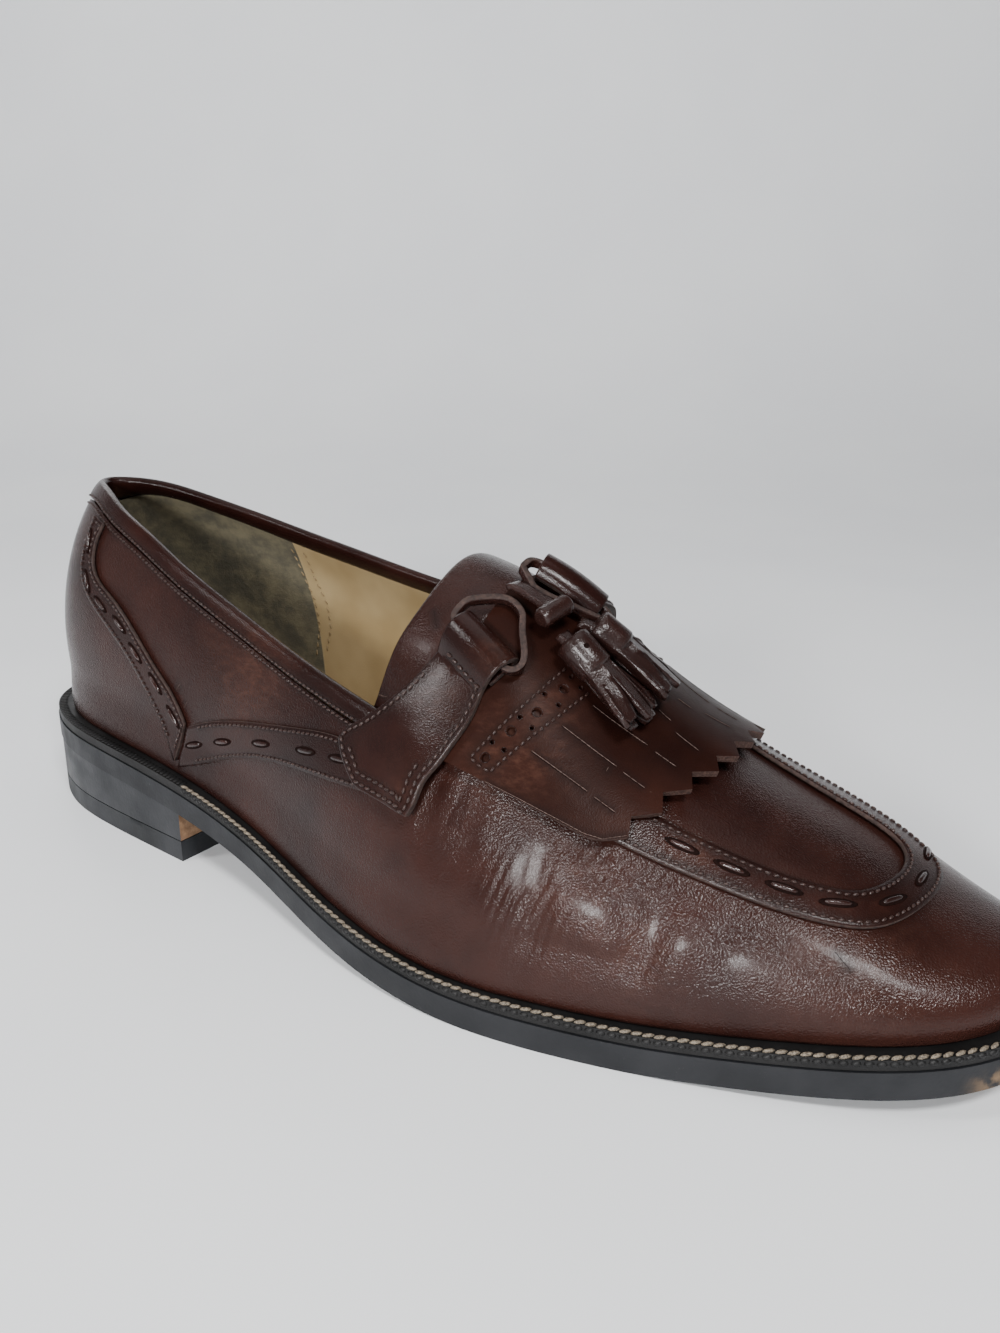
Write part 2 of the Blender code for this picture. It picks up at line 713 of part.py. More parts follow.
def make_bow_loops(group, material):
    rows = columns(THONG_CORNERS)
    for name, side in (("outer", -1), ("inner", 1)):
        reach = np.array(rows["reach"]) * LOOP_REACH
        reach = reach - side * THONG_SHIFT * (reach > 1.5 * LOOP_REACH)
        corners = np.stack([np.array(rows[name]) * STRAP_TOP, reach], 1)
        flat = rounded_loop(corners, THONG_BEND, 30)
        reach = flat[:, 1]
        rise = 0.53 - 0.25 * ease((reach / LOOP_REACH - 1.05) / 0.8)
        along, across = strap_spot(side, flat[:, 0] / STRAP_TOP, np.ones(len(flat)), reach)
        lift = strap_lift(along, across) + rise * LOOP_HEIGHT
        path = lifted(along, across, lift)
        normal = lifted(along, across, lift + 0.001) - path
        run = np.roll(path, -1, 0) - np.roll(path, 1, 0)
        wide = np.cross(normal, run)
        wide *= THONG_THICK / 2 / np.linalg.norm(wide, axis=1)[:, None]
        deep = np.cross(run, wide)
        deep *= THONG_WIDTH / 2 / np.linalg.norm(deep, axis=1)[:, None]
        corners = [path + wide + deep, path - wide + deep, path - wide - deep, path + wide - deep]
        bm = bmesh.new()
        loft(bm, list(np.stack(corners, 1)), closed=True)
        new_object(f"bow_loop_{name}", bm, group, material)


def frame_at(start, end):
    """Unit vectors ahead from start to end, sideways and up off the last between them."""
    ahead = end - start
    ahead = ahead / np.linalg.norm(ahead)
    sideways = np.cross(ahead, (0.0, 0.0, 1.0))
    sideways /= np.linalg.norm(sideways)
    return ahead, sideways, np.cross(sideways, ahead)


def drum(bm, start, end, radius, sides, chamfer):
    """A round bar between two points, its ends chamfered."""
    ahead, sideways, up = frame_at(start, end)
    turn = np.linspace(0, 2 * math.pi, sides, endpoint=False)
    ring = np.cos(turn)[:, None] * sideways + np.sin(turn)[:, None] * up
    length = np.linalg.norm(end - start)
    stops = ((0, radius - chamfer), (chamfer, radius), (length - chamfer, radius), (length, radius - chamfer))
    loft(bm, [list(start + ahead * on + ring * size) for on, size in stops], closed=False)


def slat(bm, path, sideways, up, width, thick):
    """A flat bar along a few points; each has its own sideways and up, width and thickness."""
    rings = []
    for spot, side, high, wide, deep in zip(path, sideways, up, width, thick):
        across = side * wide / 2
        over = high * deep / 2
        rings.append([spot + across + over, spot - across + over, spot - across - over, spot + across - over])
    loft(bm, rings, closed=False)


def fuse(made, bm, group, material, name):
    """Joins the loose pieces of a bmesh to an object as one solid."""
    helper = new_object(name, bm, group, material)
    helper.hide_render = True
    helper.display_type = "WIRE"
    join = made.modifiers.new("Join", "BOOLEAN")
    join.operation = "UNION"
    join.solver = "EXACT"
    join.use_self = True
    join.object = helper


def spot_on(along, across, lift):
    return lifted(np.array([along]), np.array([across]), np.array([lift]))[0]


def make_knot(group, helpers, material):
    """The roll the thongs are drawn through, and the keeper over the loops behind it."""
    bm = bmesh.new()
    drum(bm, spot_on(0.620, -0.170, 0.0092), spot_on(0.624, -0.072, 0.0092), KNOT_RADIUS, 12, 0.0007)
    knot = new_object("bow_knot", bm, group, material)
    stops = ((0.5890, 0.0066), (0.5925, 0.0078), (0.601, 0.0081), (0.611, 0.0085), (0.621, 0.0092))
    path = [spot_on(along, -0.118, lift) for along, lift in stops]
    _, sideways, _ = frame_at(path[0], path[-1])
    up = []
    for here in range(len(path)):
        run = path[min(here + 1, len(path) - 1)] - path[max(here - 1, 0)]
        high = np.cross(sideways, run)
        up.append(high / np.linalg.norm(high))
    bm = bmesh.new()
    slat(bm, path, [sideways] * 5, up, [0.0042] * 5, [THONG_THICK] * 5)
    fuse(knot, bm, helpers, material, "keeper")


# Each tassel: places of the neck's start, the barrel's ends and the strips' tips.
TASSELS = (
    ("name", "part", "along", "across", "lift"),
    ("tassel_outer", "neck", 0.6340, -0.150, 0.0078),
    ("tassel_outer", "barrel", 0.6405, -0.151, 0.0086),
    ("tassel_outer", "mouth", 0.6640, -0.153, 0.0080),
    ("tassel_outer", "tips", 0.7080, -0.158, 0.0075),
    ("tassel_inner", "neck", 0.6360, -0.078, 0.0078),
    ("tassel_inner", "barrel", 0.6435, -0.058, 0.0088),
    ("tassel_inner", "mouth", 0.6635, -0.032, 0.0082),
    ("tassel_inner", "tips", 0.7040, 0.008, 0.0076),
)


def make_tassels(group, helpers, material):
    """A barrel with a ring of strips out of its mouth, fanned at the tips, and a short neck."""
    for name in ("tassel_outer", "tassel_inner"):
        neck, barrel, mouth, tips = (spot_on(*row[2:]) for row in TASSELS[1:] if row[0] == name)
        bm = bmesh.new()
        drum(bm, barrel, mouth, BARREL_RADIUS, 16, 0.0006)
        made = new_object(name, bm, group, material)
        _, sideways, up = frame_at(barrel, mouth)
        bm = bmesh.new()
        slat(bm, [neck, barrel + (mouth - barrel) * 0.2], [sideways] * 2, [up] * 2, [0.0044] * 2, [0.0016] * 2)
        root = barrel + (mouth - barrel) * 0.55
        _, aside, high = frame_at(mouth, tips)
        for strip in range(STRIPS):
            turn = 2 * math.pi * (strip + 0.1 * (strip % 3)) / STRIPS
            length = 1.0 - 0.035 * ((strip * 3) % 4)
            path, sides, ups = [], [], []
            for share, reach in ((0.0, 0.0), (0.45, 0.45), (0.88, 0.88), (1.0, 1.0)):
                wide = 0.0026 + (0.0066 - 0.0026) * ease(share)
                tall = 0.0026 + (0.0017 - 0.0026) * ease(share)
                axis = root + (tips - root) * reach * length
                path.append(axis + aside * wide * math.sin(turn) + high * tall * math.cos(turn))
                tangent = aside * wide * math.cos(turn) - high * tall * math.sin(turn)
                tangent /= np.linalg.norm(tangent)
                sides.append(tangent)
                normal = np.cross(tangent, tips - mouth)
                ups.append(normal / np.linalg.norm(normal))
            widths = [STRIP_WIDTH * share for share in (0.8, 1.0, 1.0, 0.55)]
            slat(bm, path, sides, ups, widths, [STRIP_THICK] * 4)
        fuse(made, bm, helpers, material, f"{name}_strips")


def make_materials():
    return {
        "upper": paint("burgundy_leather", (0.055, 0.020, 0.016), 0.30),
        "trim": paint("burgundy_trim", (0.048, 0.017, 0.014), 0.32),
        "bow": paint("burgundy_thong", (0.040, 0.018, 0.016), 0.45),
    }


def main():
    for old in list(bpy.data.objects):
        bpy.data.objects.remove(old, do_unlink=True)
    group = collection("kiltie_loafer")
    colours = make_materials()
    make_bottom(group)
    make_upper(group, colours["upper"])
    make_collar(group, colours["trim"])
    make_tongue(group, colours["upper"])
    make_trim(group, colours["trim"])
    make_apron(group, colours["trim"])
    make_kiltie(group, colours["upper"])
    make_straps(group, colours["upper"])
    helpers = collection("helpers")
    helpers.hide_render = True
    make_bow_loops(group, colours["bow"])
    make_knot(group, helpers, colours["bow"])
    make_tassels(group, helpers, colours["bow"])


main()
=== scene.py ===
"""The kiltie loafer in its leathers: seams, stitches, laces, punching, sole edge, floor, light, camera."""

import math

import bmesh
import bpy
import numpy as np
from mathutils import Matrix, Vector
from mathutils.bvhtree import BVHTree
from mathutils.kdtree import KDTree


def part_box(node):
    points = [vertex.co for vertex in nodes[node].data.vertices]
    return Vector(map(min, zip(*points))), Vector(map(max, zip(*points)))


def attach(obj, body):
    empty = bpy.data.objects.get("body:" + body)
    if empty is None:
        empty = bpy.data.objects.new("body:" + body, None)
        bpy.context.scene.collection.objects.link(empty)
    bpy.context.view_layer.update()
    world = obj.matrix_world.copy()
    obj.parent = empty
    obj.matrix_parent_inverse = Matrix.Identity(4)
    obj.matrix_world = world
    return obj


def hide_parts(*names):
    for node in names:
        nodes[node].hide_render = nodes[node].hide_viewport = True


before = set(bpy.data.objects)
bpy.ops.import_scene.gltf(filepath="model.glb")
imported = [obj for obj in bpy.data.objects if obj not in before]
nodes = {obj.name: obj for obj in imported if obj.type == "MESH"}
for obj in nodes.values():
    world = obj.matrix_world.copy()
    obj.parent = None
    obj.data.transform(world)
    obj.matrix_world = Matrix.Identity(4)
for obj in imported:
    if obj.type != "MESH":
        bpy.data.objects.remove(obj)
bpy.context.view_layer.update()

MM = 0.001
PHOTO_WIDTH = 1000
PHOTO_HEIGHT = 1333
FOCAL_PIXELS = 1085.7
CAMERA_SPOT = (0.1618, -0.2143, 0.1469)
CAMERA_YAW = 34.28
CAMERA_DOWN = 18.08
CAMERA_ROLL = 0.42

# Edges sharper than this angle part one smooth patch from the next.
SHARP = 40

# The middle of the foot inside the shoe: what faces away from it is outside.
HEART = ((-0.118, 0.000, 0.045), (-0.050, 0.000, 0.045), (0.020, -0.004, 0.042), (0.070, -0.002, 0.032),
         (0.118, 0.004, 0.026))


def placed(name, data):
    """A new object with this data, in the scene."""
    thing = bpy.data.objects.new(name, data)
    bpy.context.scene.collection.objects.link(thing)
    return thing


def placed_mesh(name, bm, *materials):
    """A new object whose mesh is made of a bmesh, which is freed."""
    mesh = bpy.data.meshes.new(name)
    bm.to_mesh(mesh)
    bm.free()
    for material in materials:
        mesh.materials.append(material)
    return placed(name, mesh)


def make_camera():
    """A camera that stands and looks as the photograph's did."""
    data = bpy.data.cameras.new("camera")
    data.sensor_fit = "HORIZONTAL"
    data.sensor_width = 36.0
    data.lens = 36.0 * FOCAL_PIXELS / PHOTO_WIDTH
    data.clip_start = 0.01
    camera = placed("camera", data)
    yaw = Matrix.Rotation(math.radians(CAMERA_YAW), 4, "Z")
    down = Matrix.Rotation(math.radians(90 - CAMERA_DOWN), 4, "X")
    roll = Matrix.Rotation(math.radians(CAMERA_ROLL), 4, "Z")
    camera.matrix_world = Matrix.Translation(CAMERA_SPOT) @ yaw @ down @ roll
    bpy.context.scene.camera = camera
    return camera


camera = make_camera()


def sight(px, py):
    """The camera's ray through a place in the photograph's frame."""
    across = (px - PHOTO_WIDTH / 2) / FOCAL_PIXELS
    up = (PHOTO_HEIGHT / 2 - py) / FOCAL_PIXELS
    way = camera.matrix_world.to_3x3() @ Vector((across, up, -1.0))
    return Vector(CAMERA_SPOT), way.normalized()


def heart(point):
    """The nearest place inside the foot, at the same distance along the shoe."""
    spots = np.array(HEART)
    x = min(max(point[0], HEART[0][0]), HEART[-1][0])
    return Vector((x, np.interp(x, spots[:, 0], spots[:, 1]), np.interp(x, spots[:, 0], spots[:, 2])))


def skin(*objects):
    """A search tree over the faces of finished pieces."""
    corners = []
    faces = []
    for thing in objects:
        first = len(corners)
        corners.extend(vert.co.copy() for vert in thing.data.vertices)
        faces.extend([first + corner for corner in face.vertices] for face in thing.data.polygons)
    return BVHTree.FromPolygons(corners, faces)


def seen(tree, places):
    """Where the camera's rays through these places meet the skin."""
    spots = []
    for px, py in places:
        hit = tree.ray_cast(*sight(px, py))
        if hit[0] is not None:
            spots.append(hit[0])
    return spots


def across_shoe(tree, spots):
    """The same places on the other side of the shoe."""
    mirrored = []
    for spot in spots:
        middle = heart(spot)
        away = Vector((spot.x, 2 * middle.y - spot.y, spot.z)) - middle
        hit = tree.ray_cast(middle + away * 2.2, -away.normalized())
        if hit[0] is not None:
            mirrored.append(hit[0])
    return mirrored


def search_tree(spots):
    """A tree that finds the nearest of these places."""
    tree = KDTree(len(spots))
    for index, spot in enumerate(spots):
        tree.insert(spot, index)
    tree.balance()
    return tree


def evenly(spots, pitch):
    """Places a pitch apart along a run of places, with the direction of the run at each."""
    spots = np.array([list(spot) for spot in spots])
    step = np.linalg.norm(np.diff(spots, axis=0), axis=1)
    run = np.concatenate([[0.0], np.cumsum(step)])
    if run[-1] < pitch:
        return []
    count = max(int(run[-1] / pitch), 1)
    at = (np.arange(count) + 0.5) * run[-1] / count

    def spot_at(where):
        return np.stack([np.interp(where, run, spots[:, axis]) for axis in range(3)], 1)

    ahead = spot_at(np.minimum(at + pitch * 0.4, run[-1])) - spot_at(np.maximum(at - pitch * 0.4, 0.0))
    return [(Vector(spot), Vector(way).normalized()) for spot, way in zip(spot_at(at), ahead)]


def soft_run(spots, rounds=2):
    """A run of places with its corners cut, the ends kept."""
    spots = [Vector(spot) for spot in spots]
    for _ in range(rounds):
        cut = [spots[0]]
        for here, there in zip(spots, spots[1:]):
            cut.append(here.lerp(there, 0.25))
            cut.append(here.lerp(there, 0.75))
        cut.append(spots[-1])
        spots = cut
    return spots


def merged_copy(node):
    """A CAD node's mesh with its triangles joined to each other, and paired where they lie flat."""
    bm = bmesh.new()
    bm.from_mesh(nodes[node].data)
    bmesh.ops.remove_doubles(bm, verts=bm.verts, dist=2e-6)
    bmesh.ops.join_triangles(bm, faces=bm.faces, angle_face_threshold=math.radians(30),
                             angle_shape_threshold=math.radians(70))
    bm.normal_update()
    return bm


def patches(bm, sharp=SHARP):
    """The smooth patches of a mesh, widest first: each its faces and how far it looks outwards."""
    limit = math.radians(sharp)
    left = set(bm.faces)
    found = []
    while left:
        face = left.pop()
        patch = [face]
        for face in patch:
            for edge in face.edges:
                if edge.calc_face_angle(math.pi) > limit:
                    continue
                for other in edge.link_faces:
                    if other in left:
                        left.discard(other)
                        patch.append(other)
        area = sum(face.calc_area() for face in patch)
        out = 0.0
        for face in patch:
            middle = face.calc_center_median()
            out += face.calc_area() * face.normal.dot((middle - heart(middle)).normalized())
        found.append((area, out / area, patch))
    return sorted(found, key=lambda row: -row[0])


def outer_patch(bm):
    """The widest patch that faces away from the foot."""
    return next(row[2] for row in patches(bm) if row[1] > 0)


def top_patch(bm):
    """The wide patch that looks up most."""
    def upward(row):
        return sum(face.normal.z * face.calc_area() for face in row[2]) / row[0]

    return max(patches(bm)[:4], key=upward)[2]


def ring_length(ring):
    return sum((here[0] - there[0]).length for here, there in zip(ring, ring[1:]))


def rims(patch):
    """The closed edges round a patch, each a list of places with the way into the patch."""
    inside = set(patch)
    follow = {}
    into = {}
    for face in patch:
        for loop in face.loops:
            others = [other for other in loop.edge.link_faces if other is not face and other in inside]
            if others:
                continue
            start = loop.vert
            follow[start] = loop.link_loop_next.vert
            run = loop.link_loop_next.vert.co - start.co
            into[start] = face.normal.cross(run).normalized()
    found = []
    while follow:
        vert = next(iter(follow))
        loop = []
        while vert in follow:
            loop.append((vert.co.copy(), into[vert]))
            vert = follow.pop(vert)
        found.append(loop)
    return sorted(found, key=ring_length, reverse=True)


def inset_rows(node, inset, keep, pick=outer_patch, gap=12.0 * MM):
    """Runs of places a distance in from a node's edge, where keep(place, way in) says so."""
    bm = merged_copy(node)
    ring = rims(pick(bm))[0]
    rows = [[]]
    for spot, way in ring + ring[:1]:
        kept = keep(spot, way)
        place = spot + way * inset
        if rows[-1] and (not kept or (place - rows[-1][-1]).length > gap):
            rows.append([])
        if kept:
            rows[-1].append(place)
    rows = [row for row in rows if row]
    bm.free()
    if len(rows) > 1 and (rows[0][0] - rows[-1][-1]).length < 6.0 * MM:
        rows[0] = rows.pop() + rows[0]
    return [row for row in rows if len(row) > 2]


def finished(name, bm, materials, slot, *replaced):
    """A piece made of a bmesh, riding on the shoe, that stands for the CAD nodes named."""
    piece = placed_mesh(name, bm, *materials)
    piece.data.shade_smooth()
    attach(piece, "root")
    if replaced:
        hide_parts(*replaced)
    return piece


def bake_modifiers(piece):
    """Puts what the modifiers make into the piece's own mesh."""
    graph = bpy.context.evaluated_depsgraph_get()
    mesh = bpy.data.meshes.new_from_object(piece.evaluated_get(graph))
    old = piece.data
    piece.modifiers.clear()
    piece.data = mesh
    bpy.data.meshes.remove(old)
    mesh.name = piece.name


def supple(node, name, slot, materials, level=2, crease=0.75, sharp=SHARP, thin=True, swell=0.0, mark=0):
    """A CAD node's form in fine faces: outside, inside and cut edges each with its own material."""
    bm = merged_copy(node)
    layer = bm.edges.layers.float.new("crease_edge")
    for edge in bm.edges:
        if edge.calc_face_angle(0.0) > math.radians(sharp):
            edge[layer] = crease
    if thin:
        found = patches(bm, sharp)
        faces_out = max(found[:2], key=lambda row: row[1])
        for row in found:
            index = 2 if row[0] < 0.2 * found[0][0] else 1
            if row is faces_out or (index == 2 and row[1] > 0.8):
                index = 0
            for face in row[2]:
                face.material_index = min(index, len(materials) - 1)
    piece = finished(name, bm, materials, slot, node)
    finer = piece.modifiers.new("finer", "SUBSURF")
    finer.levels = level
    finer.render_levels = level
    bake_modifiers(piece)
    piece.data.shade_smooth()
    if swell:
        shifts = [vert.normal * swell * MM for vert in piece.data.vertices]
        for vert, shift in zip(piece.data.vertices, shifts):
            vert.co += shift
    if mark:
        piece.data.set_sharp_from_angle(angle=math.radians(mark))
    return piece


# Shaders. Each graph is written with small helpers: put() makes a node and fills its sockets.

def put(tree, kind, sockets=(), **settings):
    """A shader node; each socket gets a value, or is linked where it is given a socket."""
    node = tree.nodes.new(kind)
    for name, value in settings.items():
        setattr(node, name, value)
    for name, value in dict(sockets).items():
        if isinstance(value, bpy.types.NodeSocket):
            tree.links.new(value, node.inputs[name])
        else:
            node.inputs[name].default_value = value
    return node


def maths(tree, how, first, second):
    return put(tree, "ShaderNodeMath", {0: first, 1: second}, operation=how).outputs[0]


def position(tree):
    """Where a point lies on its piece."""
    return put(tree, "ShaderNodeTexCoord").outputs["Object"]


def times(tree, first, second):
    return maths(tree, "MULTIPLY", first, second)


def plus(tree, first, second):
    return maths(tree, "ADD", first, second)


def blend_colour(tree, factor, first, second):
    return put(tree, "ShaderNodeMix", {0: factor, 6: first, 7: second}, data_type="RGBA").outputs[2]


def ranged(tree, value, low, high, to_low=0.0, to_high=1.0):
    sockets = {"Value": value, "From Min": low, "From Max": high, "To Min": to_low, "To Max": to_high}
    return put(tree, "ShaderNodeMapRange", sockets, interpolation_type="SMOOTHSTEP").outputs[0]


def cloud(tree, where, scale, detail=3.0, rough=0.55):
    sockets = {"Vector": where, "Scale": scale, "Detail": detail, "Roughness": rough}
    return put(tree, "ShaderNodeTexNoise", sockets).outputs["Fac"]


def turned(tree, where, lean, scale=(1, 1, 1)):
    """The same places, scaled and then turned, so that a pattern on them stretches and leans."""
    sockets = {"Vector": where, "Rotation": lean, "Scale": scale}
    return put(tree, "ShaderNodeMapping", sockets).outputs[0]


def soft_cloud(tree, where, scale, detail=3.0):
    """A cloud spread over the whole range from 0 to 1."""
    return ranged(tree, cloud(tree, where, scale, detail), 0.3, 0.7)


def roughen(tree, shader, height, strength, deep):
    """Links a height to the shader as a bump, deep metres high."""
    bump = put(tree, "ShaderNodeBump", {"Height": height, "Strength": strength, "Distance": deep})
    tree.links.new(bump.outputs["Normal"], shader.inputs["Normal"])


def paint(tree, shader, colour):
    tree.links.new(colour, shader.inputs["Base Color"])


# The leather's patterns: how many to a metre, which way they lean, and their colours.
BLOTCH_SCALE = 22.0
MOTTLE_SCALE = 130.0
STREAK_SCALE = 260.0
DUST_SCALE = 900.0
PORE_SCALE = 2600.0
WAVE_SCALE = 120.0
WRINKLE_SCALE = 150.0
STREAK_LEAN = (0.0, 0.9, 0.2)
WRINKLE_LEAN = (0.0, -0.15, 0.25)
# The rubbed tint is partly wear and partly painted highlight.
RUBBED_AND_HIGHLIGHT_TINT = (0.080, 0.034, 0.023, 1)
# The seam tint is partly burnish and partly painted shade in the stitch grooves and along drawn edges.
SEAM_BURNISH_AND_SHADE_TINT = (0.007, 0.003, 0.0025, 1)
DUST_TINT = (0.22, 0.15, 0.12, 1)
GRAIN_HEIGHT = 0.4 * MM


def make_leather_group():
    """Aniline leather: cloudy colour, pebble grain, wrinkles, dust, seams darkened by burnish and painted
    shade, rubbed patches that are partly painted highlight.
    """
    number = "NodeSocketFloat"
    colour = "NodeSocketColor"
    group = bpy.data.node_groups.new("leather_skin", "ShaderNodeTree")
    for label, kind in (("Deep", colour), ("Warm", colour), ("Grain Size", number),
                        ("Grain Depth", number), ("Gloss", number)):
        group.interface.new_socket(label, in_out="INPUT", socket_type=kind)
    for label, kind in (("Color", colour), ("Roughness", number), ("Normal", "NodeSocketVector")):
        group.interface.new_socket(label, in_out="OUTPUT", socket_type=kind)
    given = group.nodes.new("NodeGroupInput")
    out = group.nodes.new("NodeGroupOutput")
    where = position(group)
    seam, rub_and_highlight, wrinkled = (put(group, "ShaderNodeAttribute", attribute_name=label).outputs["Fac"]
                           for label in ("seam", "rub_and_highlight", "wrinkled"))
    blotches = ranged(group, cloud(group, where, BLOTCH_SCALE), 0.35, 0.68)
    mottle = ranged(group, cloud(group, where, MOTTLE_SCALE, 4.0), 0.3, 0.72, 0.0, 0.35)
    tone = times(group, plus(group, blotches, mottle), 0.75)
    base = blend_colour(group, tone, given.outputs["Deep"], given.outputs["Warm"])
    brushed = turned(group, where, STREAK_LEAN, (1, 1, 2))
    streaks = ranged(group, cloud(group, brushed, STREAK_SCALE, 4.0, 0.7), 0.42, 0.72)
    # A warm tint where rubbed: partly wear, partly painted highlight.
    rubbed_and_lit = times(group, rub_and_highlight, plus(group, times(group, streaks, 0.7), 0.3))
    base = blend_colour(group, rubbed_and_lit, base, RUBBED_AND_HIGHLIGHT_TINT)
    # A dark tint near seams: partly burnish, partly painted shade along stitches and drawn edges.
    base = blend_colour(group, times(group, seam, 0.7), base, SEAM_BURNISH_AND_SHADE_TINT)
    dust = ranged(group, cloud(group, where, DUST_SCALE, 2.0), 0.77, 0.84, 0.0, 0.25)
    base = blend_colour(group, dust, base, DUST_TINT)
    pebble = put(group, "ShaderNodeTexVoronoi", {"Vector": where, "Scale": given.outputs["Grain Size"]},
                 feature="SMOOTH_F1").outputs["Distance"]
    pores = cloud(group, where, PORE_SCALE, 2.0)
    waves = cloud(group, where, WAVE_SCALE, 3.0, 0.6)
    leaning = turned(group, where, WRINKLE_LEAN)
    wrinkles = put(group, "ShaderNodeTexWave", {"Vector": leaning, "Scale": WRINKLE_SCALE, "Distortion": 5.0,
                                                "Detail": 3.0, "Detail Scale": 0.6})
    height = times(group, pebble, 0.9)
    for part, much in ((pores, 0.7), (waves, 0.5), (times(group, wrinkles.outputs["Fac"], wrinkled), 1.7)):
        height = plus(group, height, times(group, part, much))
    bump = put(group, "ShaderNodeBump", {"Height": height, "Strength": given.outputs["Grain Depth"],
                                         "Distance": GRAIN_HEIGHT})
    patchy = ranged(group, cloud(group, where, 60.0, 5.0, 0.65), 0.4, 0.75, 0.0, 0.10)
    rough = plus(group, given.outputs["Gloss"], patchy)
    rough = plus(group, rough, times(group, seam, 0.12))
    group.links.new(base, out.inputs["Color"])
    group.links.new(rough, out.inputs["Roughness"])
    group.links.new(bump.outputs["Normal"], out.inputs["Normal"])
    return group


leather_group = make_leather_group()


def principled(name, **sockets):
    """A new material and its Principled shader, with plain values on the shader's own sockets."""
    material = bpy.data.materials.new(name)
    material.use_nodes = True
    shader = material.node_tree.nodes["Principled BSDF"]
    for label, value in sockets.items():
        shader.inputs[label.replace("_", " ")].default_value = value
    return material, material.node_tree, shader


def leather(name, deep, warm, size=1500.0, depth=0.25, gloss=0.3, coat=0.4, shine=0.28):
    """One of the leathers, from its two colours, its grain and its gloss."""
    material, tree, shader = principled(name, Coat_Weight=coat, Coat_Roughness=0.16, IOR=1.48,
                                        Specular_IOR_Level=shine)
    sockets = {"Deep": (*deep, 1), "Warm": (*warm, 1), "Grain Size": size, "Grain Depth": depth,
               "Gloss": gloss}
    group = put(tree, "ShaderNodeGroup", sockets, node_tree=leather_group)
    paint(tree, shader, group.outputs["Color"])
    tree.links.new(group.outputs["Roughness"], shader.inputs["Roughness"])
    tree.links.new(group.outputs["Normal"], shader.inputs["Normal"])
    return material


def fibrous(name, dark, pale, scale=900.0, depth=0.6, rough=0.8, shine=0.4):
    """Raw cut edges, suede and thread: a fibrous colour and a rough bump."""
    material, tree, shader = principled(name, Roughness=rough, Specular_IOR_Level=shine)
    where = position(tree)
    fibre = cloud(tree, where, scale, 4.0, 0.7)
    base = blend_colour(tree, ranged(tree, fibre, 0.3, 0.7), (*dark, 1), (*pale, 1))
    paint(tree, shader, base)
    roughen(tree, shader, fibre, depth, 0.3 * MM)
    return material


# Where the grip ends and the smooth lining begins, and how far that line leans forward with height.
LINING_SPLIT = (-0.0792, -0.0786)
LINING_LEAN = 0.13
LINING_MIDDLE = 0.06


def make_lining():
    """Smooth beige leather forward of the seam and a khaki suede grip behind it."""
    material, tree, shader = principled("lining_leather_and_suede")
    where = position(tree)
    split = put(tree, "ShaderNodeSeparateXYZ", {0: where})
    lean = times(tree, maths(tree, "SUBTRACT", split.outputs["Z"], LINING_MIDDLE), LINING_LEAN)
    front = ranged(tree, plus(tree, split.outputs["X"], lean), *LINING_SPLIT)
    nap = cloud(tree, where, 700.0, 5.0, 0.7)
    patches_of_nap = cloud(tree, where, 95.0, 5.0, 0.65)
    strokes = cloud(tree, turned(tree, where, (0, 0.35, 0), (0.25, 1, 1)), 260.0, 4.0, 0.6)
    brushed = plus(tree, times(tree, patches_of_nap, 0.7), times(tree, strokes, 0.3))
    suede = blend_colour(tree, ranged(tree, brushed, 0.38, 0.64), (0.068, 0.061, 0.042, 1),
                         (0.170, 0.147, 0.088, 1))
    suede = blend_colour(tree, times(tree, nap, 0.5), suede, (0.055, 0.05, 0.036, 1))
    smooth = blend_colour(tree, soft_cloud(tree, where, 40.0), (0.27, 0.190, 0.090, 1),
                          (0.37, 0.275, 0.145, 1))
    paint(tree, shader, blend_colour(tree, front, suede, smooth))
    tree.links.new(ranged(tree, front, 0.0, 1.0, 0.95, 0.5), shader.inputs["Roughness"])
    napped = times(tree, nap, maths(tree, "SUBTRACT", 1.0, front))
    height = plus(tree, napped, times(tree, cloud(tree, where, 1600.0, 2.0), 0.25))
    roughen(tree, shader, height, 0.6, 0.4 * MM)
    return material


def make_insole_leather():
    """Beige sock leather with rows of small dimples."""
    material, tree, shader = principled("insole_leather", Roughness=0.5)
    where = position(tree)
    flat = put(tree, "ShaderNodeVectorMath", {0: where, 1: (1.0, 1.0, 0.0)}, operation="MULTIPLY").outputs[0]
    sockets = {"Vector": turned(tree, flat, (0, 0, 0.785)), "Scale": 210.0, "Randomness": 0.0}
    dots = put(tree, "ShaderNodeTexVoronoi", sockets, voronoi_dimensions="2D").outputs["Distance"]
    dimple = ranged(tree, dots, 0.10, 0.17, 1.0, 0.0)
    base = blend_colour(tree, soft_cloud(tree, where, 45.0), (0.32, 0.225, 0.11, 1), (0.44, 0.330, 0.18, 1))
    # The dimples are darkened: painted shade in their hollows.
    base = blend_colour(tree, times(tree, dimple, 0.75), base, (0.12, 0.08, 0.04, 1))
    paint(tree, shader, base)
    height = maths(tree, "SUBTRACT", times(tree, cloud(tree, where, 1500.0), 0.2), dimple)
    roughen(tree, shader, height, 0.6, 0.5 * MM)
    return material


# The worn patch of the sole's edge: it starts at the first X and is full at the second, and fades
# upwards between the two heights.
WORN_X = (0.1375, 0.148)
WORN_Z = (0.0085, 0.0125)


